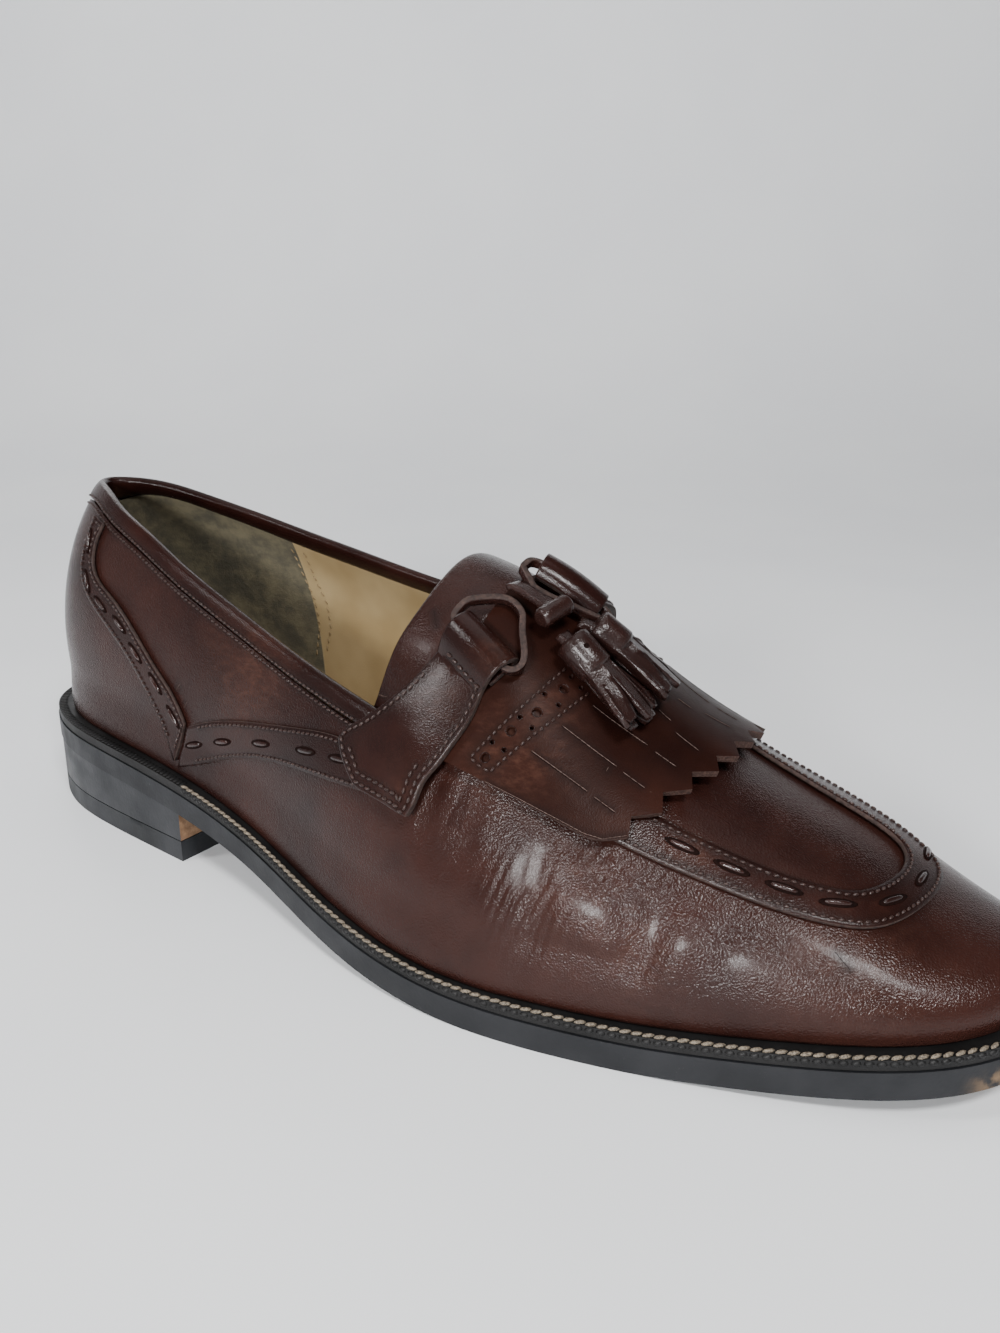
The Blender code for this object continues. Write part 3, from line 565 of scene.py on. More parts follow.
def make_edge_dressing(name, dark, pale, rough=0.36, worn=0.0):
    """The inked edge of the sole and heel: nearly black, with a soft shine and faint scuffs."""
    material, tree, shader = principled(name, Specular_IOR_Level=0.25)
    where = position(tree)
    base = blend_colour(tree, soft_cloud(tree, where, 60.0, 4.0), (*dark, 1), (*pale, 1))
    scuff = ranged(tree, cloud(tree, where, 420.0, 5.0, 0.7), 0.66, 0.74, 0.0, 0.2)
    base = blend_colour(tree, scuff, base, (0.12, 0.12, 0.12, 1))
    if worn:
        split = put(tree, "ShaderNodeSeparateXYZ", {0: where})
        near_toe = ranged(tree, split.outputs["X"], *WORN_X)
        low = ranged(tree, split.outputs["Z"], *WORN_Z, 1.0, 0.0)
        ragged = ranged(tree, cloud(tree, where, 300.0, 4.0), 0.35, 0.6)
        mask = times(tree, times(tree, near_toe, low), ragged)
        base = blend_colour(tree, times(tree, mask, worn), base, (0.30, 0.19, 0.10, 1))
    paint(tree, shader, base)
    tree.links.new(ranged(tree, cloud(tree, where, 90.0, 4.0), 0.3, 0.7, rough, rough + 0.16),
                   shader.inputs["Roughness"])
    roughen(tree, shader, cloud(tree, where, 1100.0, 3.0), 0.18, 0.3 * MM)
    return material


burgundy = leather("upper_burgundy", (0.0110, 0.0037, 0.0030), (0.0275, 0.0094, 0.0069), size=2700.0,
                   depth=0.32, gloss=0.19, coat=0.06, shine=0.18)
burgundy_trim = leather("trim_burgundy", (0.0092, 0.0030, 0.0024), (0.0220, 0.0073, 0.0055), size=3400.0,
                        depth=0.20, gloss=0.19, coat=0.05, shine=0.17)
burgundy_strap = leather("strap_burgundy", (0.0085, 0.0028, 0.0023), (0.0205, 0.0068, 0.0052), size=3600.0,
                         depth=0.14, gloss=0.18, coat=0.05, shine=0.20)
burgundy_flap = leather("flap_burgundy", (0.0110, 0.0037, 0.0027), (0.0235, 0.0078, 0.0052), size=3600.0,
                        depth=0.10, gloss=0.30, coat=0.0, shine=0.05)
thong_face = leather("thong_burgundy", (0.0120, 0.0050, 0.0042), (0.0280, 0.0110, 0.0086), size=3000.0,
                     depth=0.24, gloss=0.25, coat=0.1)
back_face = fibrous("flesh_side", (0.055, 0.030, 0.022), (0.11, 0.062, 0.045))
cut_edge = fibrous("cut_edge", (0.014, 0.006, 0.0045), (0.075, 0.040, 0.031), scale=1600.0, rough=0.6)
hole_edge = fibrous("hole_edge", (0.010, 0.004, 0.003), (0.06, 0.026, 0.019), rough=0.6)
dark_edge = fibrous("dark_cut_edge", (0.012, 0.006, 0.005), (0.05, 0.028, 0.022))
lining = make_lining()
insole_leather = make_insole_leather()
thread = fibrous("waxed_thread", (0.009, 0.0036, 0.003), (0.048, 0.024, 0.019), scale=2500.0, depth=0.4,
                 rough=0.30)
pale_thread = fibrous("lining_thread", (0.13, 0.090, 0.042), (0.26, 0.190, 0.100), scale=2500.0)
welt_thread = fibrous("welt_thread", (0.045, 0.034, 0.024), (0.22, 0.180, 0.132), scale=2200.0, rough=0.6)
# A near-black used as painted shadow in the lace slots, beside the slits, in the pin hole and in the
# tongue's crease, and as the colour of a dark scratch.
slot_dark = fibrous("slot_shadow", (0.004, 0.0015, 0.0012), (0.009, 0.0034, 0.0026), shine=0.05)
slit_pale = fibrous("slit_edge", (0.05, 0.028, 0.022), (0.14, 0.092, 0.075), scale=2000.0, rough=0.5)
lace_face = leather("lace_leather", (0.010, 0.0034, 0.0027), (0.026, 0.0092, 0.0070), size=2800.0, depth=0.2,
                    gloss=0.12, coat=0.35)
sole_edge = make_edge_dressing("sole_edge", (0.0080, 0.0085, 0.0100), (0.0150, 0.0156, 0.0178), rough=0.42,
                               worn=0.9)
heel_edge = make_edge_dressing("heel_edge", (0.012, 0.013, 0.015), (0.024, 0.025, 0.028))
welt_black = make_edge_dressing("welt_black", (0.004, 0.0038, 0.0038), (0.009, 0.0085, 0.0085), rough=0.45)
lift_rubber = make_edge_dressing("lift_rubber", (0.010, 0.011, 0.012), (0.021, 0.022, 0.025), rough=0.44)
breast_leather = fibrous("heel_breast", (0.16, 0.085, 0.045), (0.30, 0.18, 0.10), scale=400.0, rough=0.6)

# What each leather shows outside, inside and at its cut edges.
LINED = (burgundy, lining, burgundy_trim)
BINDING = (burgundy_trim, burgundy_trim, burgundy_trim)
TRIM = (burgundy_trim, back_face, dark_edge)
STRAP = (burgundy_strap, back_face, dark_edge)
FLAP = (burgundy_flap, back_face, cut_edge)


# The upper and what lies on it.

upper = supple("upper", "upper_leather", "upper_leather", LINED, level=3, sharp=50)
binding = supple("collar_binding", "binding_leather", "trim_leather", BINDING, level=3, crease=0.25,
                 swell=0.20)
tongue = supple("tongue", "tongue_leather", "upper_leather", LINED, level=3, crease=0.2)
kiltie = supple("kiltie", "kiltie_leather", "upper_leather", FLAP, level=3, crease=1.0)
straps = {}
for side in ("outer", "inner"):
    straps[side] = supple(f"strap_{side}", f"strap_leather_{side}", "upper_leather", STRAP, level=3,
                          crease=0.6)
    thong = supple(f"bow_loop_{side}", f"thong_{side}", "thong_leather", (thong_face, dark_edge), crease=0.9,
                   sharp=60, thin=False)
    for face in thong.data.polygons:
        if face.normal.dot((face.center - heart(face.center)).normalized()) > 0.7:
            face.material_index = 1
    supple(f"tassel_{side}", f"tassel_leather_{side}", "thong_leather", (thong_face,), crease=1.0, sharp=35,
           thin=False, mark=50)
supple("bow_knot", "knot_leather", "thong_leather", (thong_face,), crease=0.8, thin=False)
bands = {}
for node in ("back_band_outer", "back_band_inner", "wing_band_outer", "wing_band_inner", "apron_band"):
    bands[node] = supple(node, f"{node}_leather", "trim_leather", TRIM, crease=0.8)
supple("insole", "insole_sock", "lining_tan", (insole_leather,), level=1, crease=0.8, thin=False)


def dress_sole():
    """The sole's pieces keep their shape. The front of the heel block shows its bare leather."""
    for node, material, slot in (("outsole", sole_edge, "sole_black"),
                                 ("heel_stack", heel_edge, "sole_black"),
                                 ("heel_top_lift", lift_rubber, "lift_black"),
                                 ("welt", welt_black, "sole_black")):
        supple(node, f"{node}_dressed", slot, (material,), crease=1.0, thin=False, mark=SHARP)
    block = bpy.data.objects["heel_stack_dressed"]
    block.data.materials.append(breast_leather)
    for face in block.data.polygons:
        if face.normal.x > 0.75 and abs(face.normal.z) < 0.5:
            face.material_index = 1


dress_sole()


# Folds of the vamp: places in the photograph's frame, half width and depth in mm, minus for a ridge.
FOLDS = (
    (((541, 842), (535, 875), (532, 912), (529, 955)), 2.4, 0.75),
    (((548, 850), (547, 885), (546, 920), (540, 960)), 0.9, 0.35),
    (((528, 862), (525, 890), (524, 920), (520, 948)), 0.8, 0.32),
    (((518, 872), (516, 898), (515, 925), (511, 945)), 0.8, 0.28),
    (((508, 882), (506, 902), (505, 925), (500, 942)), 0.8, 0.24),
    (((498, 885), (496, 905), (495, 922), (491, 938)), 0.8, 0.18),
    (((556, 850), (572, 843), (590, 846), (604, 856)), 1.1, 0.32),
    (((606, 866), (617, 890), (625, 915), (620, 945)), 1.1, 0.28),
    (((616, 905), (632, 925), (634, 945), (622, 962)), 1.0, 0.12),
    (((660, 892), (652, 925), (641, 955), (624, 985)), 3.6, 0.75),
    (((742, 918), (737, 940), (728, 960), (714, 978)), 2.4, 0.18),
    (((584, 880), (587, 905), (588, 930), (584, 952)), 7.2, -0.70),
    (((690, 918), (682, 945), (668, 970), (655, 992)), 3.2, -0.50),
    (((712, 915), (704, 940), (692, 962), (676, 982)), 5.0, -0.20),
    (((462, 900), (485, 918), (505, 930), (528, 944)), 12.0, -1.10),
)

# Places where the vamp comes out from under the strap: within a reach of them its surface is drawn smooth.
STRAP_SHADOW = ((470, 748), (466, 757), (461, 771), (457, 783), (455, 795), (452, 806), (449, 818),
                (446, 832), (443, 848))
SMOOTH_REACH = 8.0 * MM
SMOOTH_ROUNDS = 150

# How the leather bulges over the welt: how far out, and how far up the bulge fades away. At the toe
# it is less by a share, from the first X to the second.
BULGE = 2.2 * MM
BULGE_REACH = 15.0 * MM
BULGE_TOP = 45.0 * MM
TOE_SHARE = 0.6
TOE_X = (0.05, 0.11)


def smooth_vamp():
    """Draws the vamp smooth in front of each strap."""
    tree = skin(upper)
    near = seen(tree, STRAP_SHADOW)
    spots = near + across_shoe(tree, near)
    line = search_tree(spots)
    bm = bmesh.new()
    bm.from_mesh(upper.data)
    bm.normal_update()
    chosen = [vert for vert in bm.verts if line.find(vert.co)[2] < SMOOTH_REACH
              and vert.normal.dot((vert.co - heart(vert.co)).normalized()) > 0.3]
    for _ in range(SMOOTH_ROUNDS):
        bmesh.ops.smooth_vert(bm, verts=chosen, factor=0.5, use_axis_x=True, use_axis_y=True,
                              use_axis_z=True)
    bm.to_mesh(upper.data)
    bm.free()
    upper.data.update()


def crease_upper():
    """Presses the folds of the vamp into the upper, and the same folds on its other side."""
    tree = skin(upper)
    runs = []
    for places, width, depth in FOLDS:
        near = seen(tree, places)
        for spots in (near, across_shoe(tree, near)):
            if len(spots) > 2:
                run = [spot for spot, _ in evenly(soft_run(spots), 0.4 * MM)]
                runs.append((run, width * MM, depth * MM))
    mesh = upper.data
    shift = np.zeros(len(mesh.vertices))
    for spots, width, depth in runs:
        line = search_tree(spots)
        box_low = np.min([list(spot) for spot in spots], axis=0) - 3 * width
        box_high = np.max([list(spot) for spot in spots], axis=0) + 3 * width
        for vert in mesh.vertices:
            if not all(box_low[axis] < vert.co[axis] < box_high[axis] for axis in range(3)):
                continue
            _, index, away = line.find(vert.co)
            fade = math.sin(math.pi * min(max((index + 1) / len(spots), 0.0), 1.0)) ** 0.6
            shift[vert.index] += depth * fade * math.exp(-((away / width) ** 2))
    for vert in mesh.vertices:
        if shift[vert.index]:
            vert.co += (heart(vert.co) - vert.co).normalized() * shift[vert.index]


def fill_out(pieces):
    """Lets the leather bulge over the welt at its foot, less so at the toe."""
    tree = skin(bpy.data.objects["welt_dressed"])
    for piece in pieces:
        mesh = piece.data
        shifts = {}
        for vert in mesh.vertices:
            if vert.co.z > BULGE_TOP:
                continue
            away = tree.find_nearest(vert.co)[3]
            out = (vert.co - heart(vert.co)) * Vector((1, 1, 0))
            if away > BULGE_REACH or out.length < MM or vert.normal.dot(out) < 0:
                continue
            facing = min(vert.normal.dot(out.normalized()) / 0.4, 1.0)
            fade = 0.5 + 0.5 * math.cos(math.pi * away / BULGE_REACH)
            toe = 1.0 - TOE_SHARE * min(max((vert.co.x - TOE_X[0]) / (TOE_X[1] - TOE_X[0]), 0.0), 1.0)
            shifts[vert.index] = out.normalized() * BULGE * fade * facing * toe
        for index, shift in shifts.items():
            mesh.vertices[index].co += shift
        mesh.update()


smooth_vamp()
fill_out([upper, *bands.values()])
crease_upper()
upper_skin = skin(upper)


# Stitches, laces and punching.
stitched = []


def nearest(tree, spot):
    return tree.find_nearest(spot)[:2]


def outermost(tree, spot):
    """The place on the outside of the shoe over a spot."""
    away = (spot - heart(spot)).normalized()
    place, normal = tree.ray_cast(spot + away * 8.0 * MM, -away, 16.0 * MM)[:2]
    return (place, normal) if place else nearest(tree, spot)


def thread_row(bm, tree, spots, pitch, length, thick, proud=0.15, slant=0.0, lay=nearest):
    """Stitches along a run, each a short bead that lies on the leather."""
    for spot, way in evenly(spots, pitch * MM):
        place, normal = lay(tree, spot)
        stitched.append(place)
        way = (way - normal * way.dot(normal)).normalized()
        side = normal.cross(way)
        way = (way * math.cos(slant) + side * math.sin(slant)).normalized()
        side = normal.cross(way)
        turn = Matrix((way, side, normal)).transposed().to_4x4()
        sizes = Matrix.Diagonal((length * MM / 2, thick * MM / 2, thick * MM / 2, 1.0))
        place = place + normal * proud * MM
        bmesh.ops.create_uvsphere(bm, u_segments=7, v_segments=5, radius=1.0,
                                  matrix=Matrix.Translation(place) @ turn @ sizes)


def edge_stitches(name, slot, tree, rows, pitch=1.75, length=1.4, thick=0.66, material=thread, slant=0.16,
                  lay=nearest):
    bm = bmesh.new()
    for spots in rows:
        thread_row(bm, tree, spots, pitch, length, thick, slant=slant, lay=lay)
    finished(name, bm, (material,), slot)


def lace_bars(name, tree, rows, length, width):
    """A narrow lace that goes in and out of the leather: what shows of it, each with its slot drawn as a
    flat dark patch of painted shadow.
    """
    laces = bmesh.new()
    slots = bmesh.new()
    for spots in rows:
        for index, spot in enumerate(spots):
            way = spots[min(index + 1, len(spots) - 1)] - spots[max(index - 1, 0)]
            place, normal = outermost(tree, spot)
            way = (way - normal * way.dot(normal)).normalized()
            turn = Matrix((way, normal.cross(way), normal)).transposed().to_4x4()
            for bm, long, wide, high, lift, full in ((laces, length, width, 0.58, 0.14, 0.62),
                                                     (slots, length * 1.42, width * 1.75, 0.14, 0.08, 1.0)):
                made = bmesh.ops.create_uvsphere(bm, u_segments=14, v_segments=8, radius=1.0)["verts"]
                for vert in made:
                    vert.co.x = math.copysign(abs(vert.co.x) ** full, vert.co.x)
                sizes = Matrix.Diagonal((long * MM / 2, wide * MM / 2, high * MM, 1.0))
                raised = Matrix.Translation(place + normal * lift * MM)
                bmesh.ops.transform(bm, verts=made, matrix=raised @ turn @ sizes)
    finished(f"{name}_slots", slots, (slot_dark,), "trim_leather")
    finished(f"{name}_lace", laces, (lace_face,), "trim_leather")


# Where the lace shows on the bands, places in the photograph's frame.
WING_LACE = ((194, 745), (222, 742), (260.5, 743.6), (305, 751), (339, 759))
BACK_LACE = ((89, 541), (87, 581), (100, 604), (119, 624.5), (135, 653), (155, 683.5), (173, 717))
APRON_LACE = ((682, 846), (731.6, 868), (784, 888), (838, 903), (893, 900), (922, 878), (927.7, 853))


def both_edges(node, inset, inward, least):
    """Rows along a band's two edges: where the way in goes with inward(spot), and where against it."""
    rows = []
    for sign in (1, -1):
        rows += inset_rows(node, inset, lambda spot, way: sign * way.dot(inward(spot)) > least)
    return rows


def stitch_bands():
    """Two rows along each band, and the lace between them."""
    for side in ("outer", "inner"):
        for kind, way_in, places in (("wing", Vector((0.0, 0.0, 1.0)), WING_LACE),
                                     ("back", Vector((0.8, 0.0, 0.5)), BACK_LACE)):
            node = f"{kind}_band_{side}"
            tree = skin(bands[node])
            rows = both_edges(node, 1.0 * MM, lambda spot: way_in, 0.35)
            edge_stitches(f"{node}_stitches", "trim_leather", tree, rows)
            near = seen(skin(bands[f"{kind}_band_outer"]), places)
            lace_bars(node, tree, [near if side == "outer" else across_shoe(tree, near)], 5.8, 1.25)
    tree = skin(bands["apron_band"])
    low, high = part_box("apron_band")
    centre = (low + high) / 2
    centre.x -= 12.0 * MM
    rows = both_edges("apron_band", 1.1 * MM, lambda spot: centre - spot, 4.0 * MM)
    edge_stitches("apron_stitches", "trim_leather", tree, rows)
    near = seen(tree, APRON_LACE)
    lace_bars("apron", tree, [near, across_shoe(tree, near[:-1])], 5.6, 1.2)


stitch_bands()


def stitch_collar():
    """The double row under the topline."""
    tree = skin(binding, upper)
    rows = []
    for inset in (0.8, -0.9):
        rows += inset_rows("collar_binding", inset * MM, lambda spot, way: way.z > 0.3, gap=50.0 * MM)
    edge_stitches("collar_stitches", "trim_leather", tree, rows, thick=0.68, lay=outermost)


stitch_collar()


def stitch_straps():
    """A row round each strap, a second row at its foot, and one across it under the rolled end."""
    strap_top = seen(skin(straps["outer"]), ((447, 652), (459, 666), (470, 679), (480, 689)))
    for side in ("outer", "inner"):
        node = f"strap_{side}"
        tree = skin(straps[side])
        low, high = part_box(node)
        rows = []
        for inset, share in ((1.3, 0.70), (3.4, 0.26)):
            top = low.z + share * (high.z - low.z)
            rows += inset_rows(node, inset * MM, lambda spot, way: spot.z < top)
        across = strap_top if side == "outer" else across_shoe(tree, strap_top)
        if len(across) > 2:
            rows.append(across)
        edge_stitches(f"{node}_stitches", "upper_leather", tree, rows, pitch=1.9, length=1.55, thick=0.7)


stitch_straps()

# Punching of the kiltie, places in the photograph's frame.
BIG_HOLES = ((485, 757.6), (511, 731), (537, 712), (564, 689))
SMALL_HOLES = ((492, 742), (504, 750), (520, 717), (532, 728), (544.5, 693.7), (558.5, 705), (571, 677),
               (581, 688))
SLITS = (
    ((532, 751), (587, 791)), ((563, 726), (616, 766)), ((593.5, 705.7), (647, 744.7)),
    ((594, 796.7), (615, 812)), ((623, 772), (645, 788)), ((655, 751.6), (676, 766.5)),
    ((676.5, 733), (698, 750)), ((697.4, 713), (721, 730.7)), ((712, 701), (731.7, 717.3)),
    ((678, 698.6), (691, 708)),
)
FLAP_ROWS = (((470.5, 757.6), (500, 727), (534, 696), (566, 668)),
             ((489.6, 772), (522, 744), (556, 718), (589, 693)),
             ((470.5, 757.6), (478, 765), (489.6, 772)))


def punch_kiltie():
    """Cuts the holes through the flap, on both sides of its middle, and turns a lip round each."""
    tree = skin(kiltie)
    bm = bmesh.new()
    lips = bmesh.new()
    spots = []
    for places, radius in ((BIG_HOLES, 1.0), (SMALL_HOLES, 0.5)):
        near = seen(tree, places)
        for spot in near + across_shoe(tree, near):
            spots.append((spot, radius))
    for spot, radius in spots:
        normal = tree.find_nearest(spot)[1]
        turn = normal.to_track_quat("Z", "Y").to_matrix().to_4x4()
        place = Matrix.Translation(spot) @ turn
        bmesh.ops.create_cone(bm, cap_ends=True, segments=18, radius1=radius * MM * 0.9,
                              radius2=radius * MM * 1.15, depth=3.2 * MM, matrix=place)
        outline = Matrix.Translation((radius * 1.12 * MM, 0, 0)) @ Matrix.Rotation(math.pi / 2, 4, "X")
        ring = bmesh.ops.create_circle(lips, segments=6, radius=0.10 * MM, matrix=outline)["verts"]
        edges = list({edge for vert in ring for edge in vert.link_edges})
        bmesh.ops.spin(lips, geom=ring + edges, axis=(0, 0, 1), cent=(0, 0, 0), angle=2 * math.pi, steps=18,
                       use_merge=True)
        whole = set(ring)
        left = list(ring)
        while left:
            for edge in left.pop().link_edges:
                for vert in edge.verts:
                    if vert not in whole:
                        whole.add(vert)
                        left.append(vert)
        bmesh.ops.transform(lips, verts=list(whole), matrix=place)
    punches = placed_mesh("punches", bm, hole_edge)
    cut = kiltie.modifiers.new("punched", "BOOLEAN")
    cut.operation = "DIFFERENCE"
    cut.solver = "EXACT"
    cut.object = punches
    cut.use_self = True
    bake_modifiers(kiltie)
    bpy.data.objects.remove(punches)
    kiltie.data.set_sharp_from_angle(angle=math.radians(35))
    bmesh.ops.recalc_face_normals(lips, faces=lips.faces)
    finished("kiltie_lips", lips, (burgundy_trim,), "upper_leather")


def slit_kiltie():
    """The fine slits of the flap, each a pale raised edge with its shadow beside it."""
    edges = bmesh.new()
    shadows = bmesh.new()
    middles = []
    for places in SLITS:
        near = seen(flap_skin, places)
        for ends in (near, across_shoe(flap_skin, near)):
            if len(ends) < 2:
                continue
            middle = (ends[0] + ends[1]) / 2
            if any((middle - other).length < 4.0 * MM for other in middles):
                continue
            middles.append(middle)
            aside = nearest(flap_skin, middle)[1].cross(ends[1] - ends[0]).normalized() * 0.2 * MM
            thread_row(edges, flap_skin, ends, 1.5, 2.1, 0.17, proud=0.02)
            thread_row(shadows, flap_skin, [end - aside for end in ends], 1.5, 2.1, 0.22, proud=-0.02)
    finished("kiltie_slit_edges", edges, (slit_pale,), "upper_leather")
    finished("kiltie_slit_shadows", shadows, (slot_dark,), "upper_leather")


flap_skin = skin(kiltie)
flap_near = [seen(flap_skin, places) for places in FLAP_ROWS]
flap_rows = flap_near + [across_shoe(flap_skin, spots) for spots in flap_near]
flap_rows = [row for row in flap_rows if len(row) > 1]
edge_stitches("kiltie_stitches", "upper_leather", flap_skin, flap_rows, pitch=1.6, length=1.3, thick=0.58)
slit_kiltie()
punch_kiltie()


# The welt's stitches end and its ribs begin over the front of the heel.
BREAST_X = -0.064
RIBS_X = -0.060
WELT_PITCH = 2.35


def stitch_welt():
    """The lockstitch along the welt, the black scallops outside it, and the fine ribs round the heel."""
    tree = skin(bpy.data.objects["welt_dressed"])
    bm = bmesh.new()
    for spots in inset_rows("welt", 0.6 * MM, lambda spot, way: spot.x > BREAST_X, pick=top_patch):
        thread_row(bm, tree, spots, WELT_PITCH, 2.7, 0.92, proud=0.20, slant=0.32)
    finished("welt_stitches", bm, (welt_thread,), "sole_black")
    bm = bmesh.new()
    for spots in inset_rows("welt", -0.15 * MM, lambda spot, way: spot.x > BREAST_X, pick=top_patch):
        low = [spot - Vector((0, 0, 0.9 * MM)) for spot in spots]
        thread_row(bm, tree, low, WELT_PITCH, 2.2, 1.5, proud=-0.25)
    for spots in inset_rows("welt", 1.6 * MM, lambda spot, way: spot.x <= RIBS_X, pick=top_patch):
        thread_row(bm, tree, spots, 1.5, 3.0, 1.1, proud=-0.2, slant=math.pi / 2)
    finished("welt_scallops", bm, (welt_black,), "sole_black")


stitch_welt()


LINING_SEAM = (((291, 547), (304, 575.5), (315, 600), (320, 625), (317, 656)),
               ((303, 551), (316, 580), (327, 603), (331, 627), (327, 652)))


def stitch_lining():
    """The two rows along the seam between the grip and the lining, on the side that is seen."""
    rows = [seen(upper_skin, places) for places in LINING_SEAM]
    rows = [row for row in rows if len(row) > 2]
    edge_stitches("lining_stitches", "lining_tan", upper_skin, rows, pitch=2.6, length=2.0, thick=0.5,
                  material=pale_thread, slant=0.3)


stitch_lining()


# Light scratches and the flap's pale lower edge, which is a painted highlight, then the dark nicks, of which
# the second is painted shade in the tongue's crease: ends in the photograph's frame, and thickness in mm.
# The five runs from (485, 781.5) to (627, 835.5) are the flap's edge: a painted highlight.
SCRATCHES_AND_EDGE_HIGHLIGHT = (
    ((370.6, 709), (386, 697), 0.10), ((485, 781.5), (519, 798.8), 0.13), ((519, 798.8), (560, 820.5), 0.15),
    ((560, 820.5), (583, 833), 0.15), ((583, 833), (602, 839), 0.15), ((602, 839), (627, 835.5), 0.10),
    ((176, 690), (180, 684), 0.10), ((184, 708), (187, 702), 0.10), ((606, 772), (609, 766), 0.12),
    ((300, 650), (312, 668), 0.06),
)
# The first nick is a dark scratch on the vamp; the second is painted shade in the tongue's crease.
NICKS_AND_CREASE_SHADE = (((835, 952), (851, 971), 0.16), ((433.7, 610), (436.7, 627.8), 0.10))


def scratch_leather():
    """A few light scratches on the outer side, a painted highlight along the flap's lower edge, dark nicks,
    and the pin hole of the front tassel's barrel as a disc of painted shadow.
    """
    tree = skin(upper, kiltie, tongue, *straps.values())
    for name, marks, material in (("scratches_and_edge_highlight", SCRATCHES_AND_EDGE_HIGHLIGHT, slit_pale), ("nicks_and_crease_shade", NICKS_AND_CREASE_SHADE, slot_dark)):
        bm = bmesh.new()
        for start, end, thick in marks:
            ends = seen(tree, (start, end))
            if len(ends) == 2:
                thread_row(bm, tree, ends, 0.9, 1.3, thick, proud=0.0, lay=outermost)
        finished(name, bm, (material,), "upper_leather")
    # The pin hole is a flat dark disc: painted shadow in the hole.
    tree = skin(bpy.data.objects["tassel_leather_outer"])
    bm = bmesh.new()
    for spot in seen(tree, ((586.5, 645.5),)):
        turn = nearest(tree, spot)[1].to_track_quat("Z", "Y").to_matrix().to_4x4()
        bmesh.ops.create_uvsphere(bm, u_segments=14, v_segments=8, radius=0.62 * MM,
                                  matrix=Matrix.Translation(spot) @ turn @ Matrix.Diagonal((1, 1, 0.2, 1)))
    finished("tassel_pin_hole", bm, (slot_dark,), "thong_leather")


scratch_leather()


# Rubbed places of the leather, most of them painted highlights: a place in the photograph's frame, its reach
# in mm and how strong the mark is.
RUBBED_AND_HIGHLIGHT_PLACES = (
    ((250, 672), 13.0, 0.55), ((225, 640), 9.0, 0.30), ((512, 752), 11.0, 0.55), ((540, 712), 8.0, 0.45),
    ((505, 655), 6.0, 0.35), ((585, 905), 14.0, 0.25), ((640, 955), 10.0, 0.30), ((690, 850), 5.0, 0.5),
    ((860, 965), 16.0, 0.25), ((440, 700), 7.0, 0.2), ((400, 790), 6.0, 0.3),
)

# Places of fine wrinkles, in the same way.
WRINKLED = (
    ((518, 896), 8.0, 1.0), ((528, 925), 7.0, 1.0), ((505, 915), 6.0, 0.8), ((596, 868), 6.0, 0.4),
    ((648, 965), 6.0, 0.35), ((672, 870), 5.0, 0.3),
)

# How far a seam's burnish and painted shade reach, and how much of a mark the unseen side gets.
SEAM_REACH = 1.1 * MM
FAR_SIDE_SHARE = 0.7


def mark_leather(pieces):
    """Writes for each point how near a seam, how rubbed or painted with highlight and how wrinkled it is,
    for the leather to read.
    """
    seams = search_tree(stitched)
    everything = skin(*pieces)
    marks = {"rub_and_highlight": [], "wrinkled": []}
    for label, table in (("rub_and_highlight", RUBBED_AND_HIGHLIGHT_PLACES), ("wrinkled", WRINKLED)):
        for place, reach, much in table:
            for spot in seen(everything, (place,)):
                marks[label].append((spot, reach * MM, much))
                for other in across_shoe(everything, [spot]):
                    marks[label].append((other, reach * MM, much * FAR_SIDE_SHARE))
    for piece in pieces:
        mesh = piece.data
        count = len(mesh.vertices)
        spots = np.empty(count * 3)
        mesh.vertices.foreach_get("co", spots)
        spots = spots.reshape(count, 3)
        away = np.array([seams.find(spot)[2] for spot in spots])
        found = {"seam": np.exp(-(away / SEAM_REACH) ** 2)}
        for label, rows in marks.items():
            found[label] = np.zeros(count)
            for spot, reach, much in rows:
                gap = np.linalg.norm(spots - np.array(spot), axis=1)
                found[label] = np.maximum(found[label], much * np.exp(-(gap / reach) ** 2))
        for label, values in found.items():
            mesh.attributes.new(label, "FLOAT", "POINT").data.foreach_set("value", values)


mark_leather([upper, binding, tongue, kiltie, *straps.values(), *bands.values()])


# The floor, the light and the finish.

# The backdrop's profile: how far behind the shoe, and how high.
BACKDROP = ((-2.5, 0.0), (0.32, 0.0), (0.40, 0.0), (0.55, 0.0), (0.75, 0.02), (0.90, 0.10), (0.98, 0.28),
            (1.0, 0.50), (1.0, 0.72))
BACKDROP_HALF = 3.0


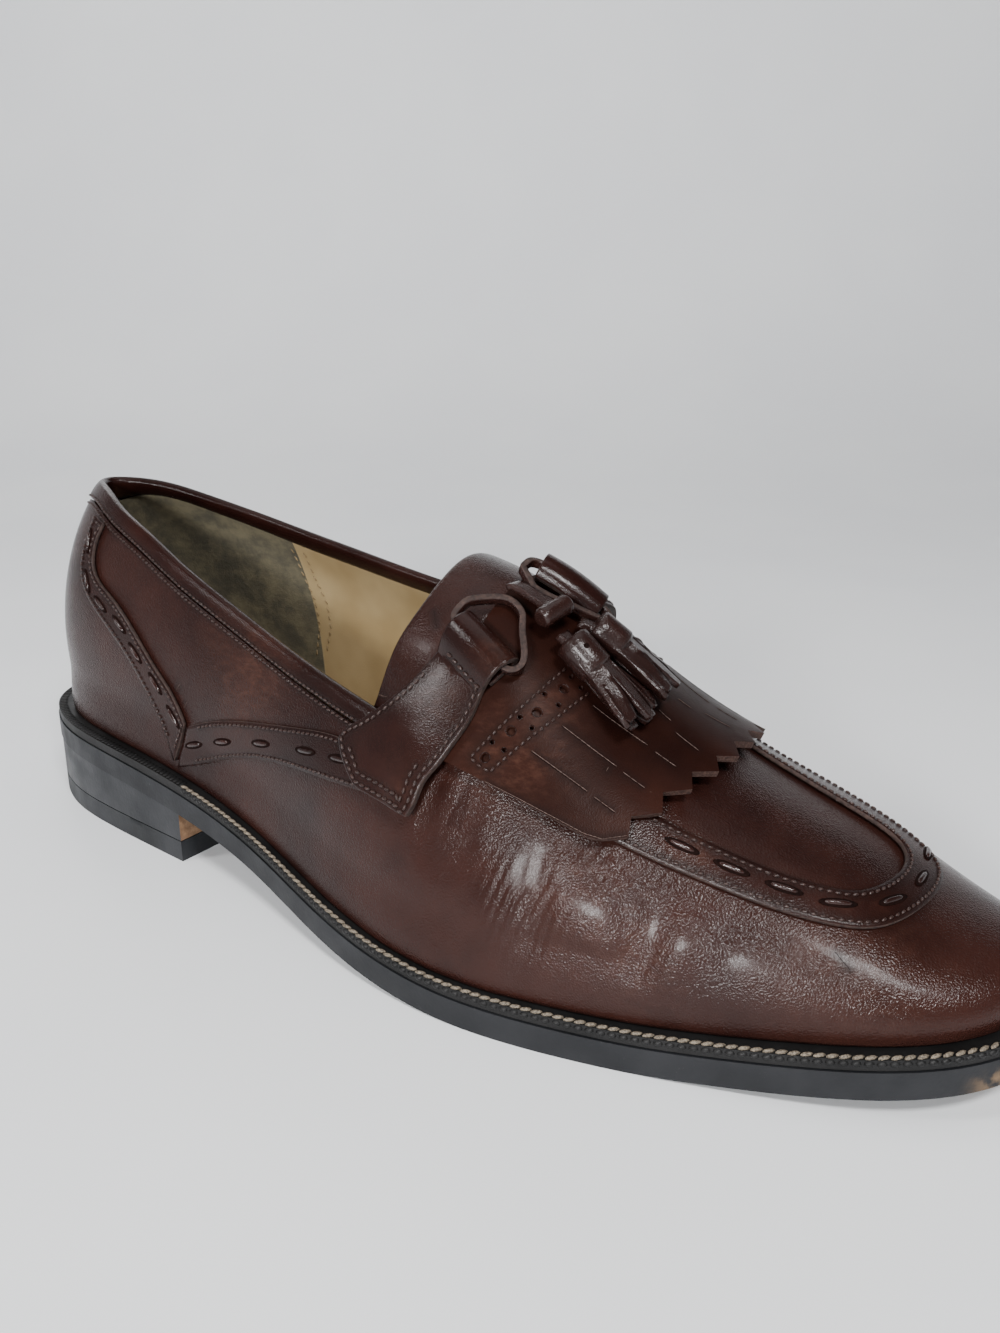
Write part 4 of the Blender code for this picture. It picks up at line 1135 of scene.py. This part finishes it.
def make_floor():
    """A white sheet that bends up into a pale backdrop."""
    material, tree, shader = principled("white_sheet", Roughness=0.55)
    where = position(tree)
    base = blend_colour(tree, soft_cloud(tree, where, 5.0), (0.82, 0.83, 0.85, 1), (0.86, 0.87, 0.88, 1))
    paint(tree, shader, base)
    bm = bmesh.new()
    rail = [bm.verts.new((-BACKDROP_HALF, y, z)) for y, z in BACKDROP]
    edges = [bm.edges.new(pair) for pair in zip(rail, rail[1:])]
    swept = bmesh.ops.extrude_edge_only(bm, edges=edges)["geom"]
    moved = [part for part in swept if isinstance(part, bmesh.types.BMVert)]
    bmesh.ops.translate(bm, verts=moved, vec=(2 * BACKDROP_HALF, 0.0, 0.0))
    turn = Matrix.Rotation(math.radians(CAMERA_YAW), 4, "Z")
    bmesh.ops.transform(bm, verts=bm.verts, matrix=turn)
    floor = placed_mesh("floor", bm, material)
    smooth = floor.modifiers.new("smooth", "SUBSURF")
    smooth.levels = 3
    smooth.render_levels = 3
    floor.data.shade_smooth()


# Each light's name, place, aim, two sides and power.
LIGHTS = (
    ("window", (0.24, -1.00, 0.39), (0.05, -0.03, 0.03), (0.22, 0.14), 12.0),
    ("toe_window", (0.61, -0.45, 0.90), (0.10, -0.02, 0.03), (0.28, 0.16), 12.0),
    ("ceiling", (-0.2, 0.1, 1.3), (0.0, 0.0, 0.0), (1.2, 1.0), 5.0),
    ("rear_left", (-0.9, 0.7, 0.6), (0.0, 0.0, 0.05), (0.6, 0.5), 7.0),
    ("front_left", (-0.55, -0.75, 0.80), (-0.03, 0.0, 0.05), (0.20, 0.20), 4.5),
)


def make_lights():
    for name, spot, aim, size, power in LIGHTS:
        data = bpy.data.lights.new(name, "AREA")
        data.shape = "RECTANGLE"
        data.size, data.size_y = size
        data.energy = power
        lamp = placed(name, data)
        turn = (Vector(aim) - Vector(spot)).to_track_quat("-Z", "Y").to_matrix().to_4x4()
        lamp.matrix_world = Matrix.Translation(spot) @ turn


def make_world(low, high):
    """An even pale room that grows dark overhead."""
    world = bpy.data.worlds.new("room")
    world.use_nodes = True
    tree = world.node_tree
    way = put(tree, "ShaderNodeTexCoord").outputs["Generated"]
    rise = put(tree, "ShaderNodeSeparateXYZ", {0: way}).outputs["Z"]
    tree.links.new(blend_colour(tree, ranged(tree, rise, 0.0, 0.75), (*low, 1), (*high, 1)),
                   tree.nodes["Background"].inputs["Color"])
    bpy.context.scene.world = world


make_floor()
make_lights()
make_world((0.56, 0.57, 0.58), (0.045, 0.045, 0.05))
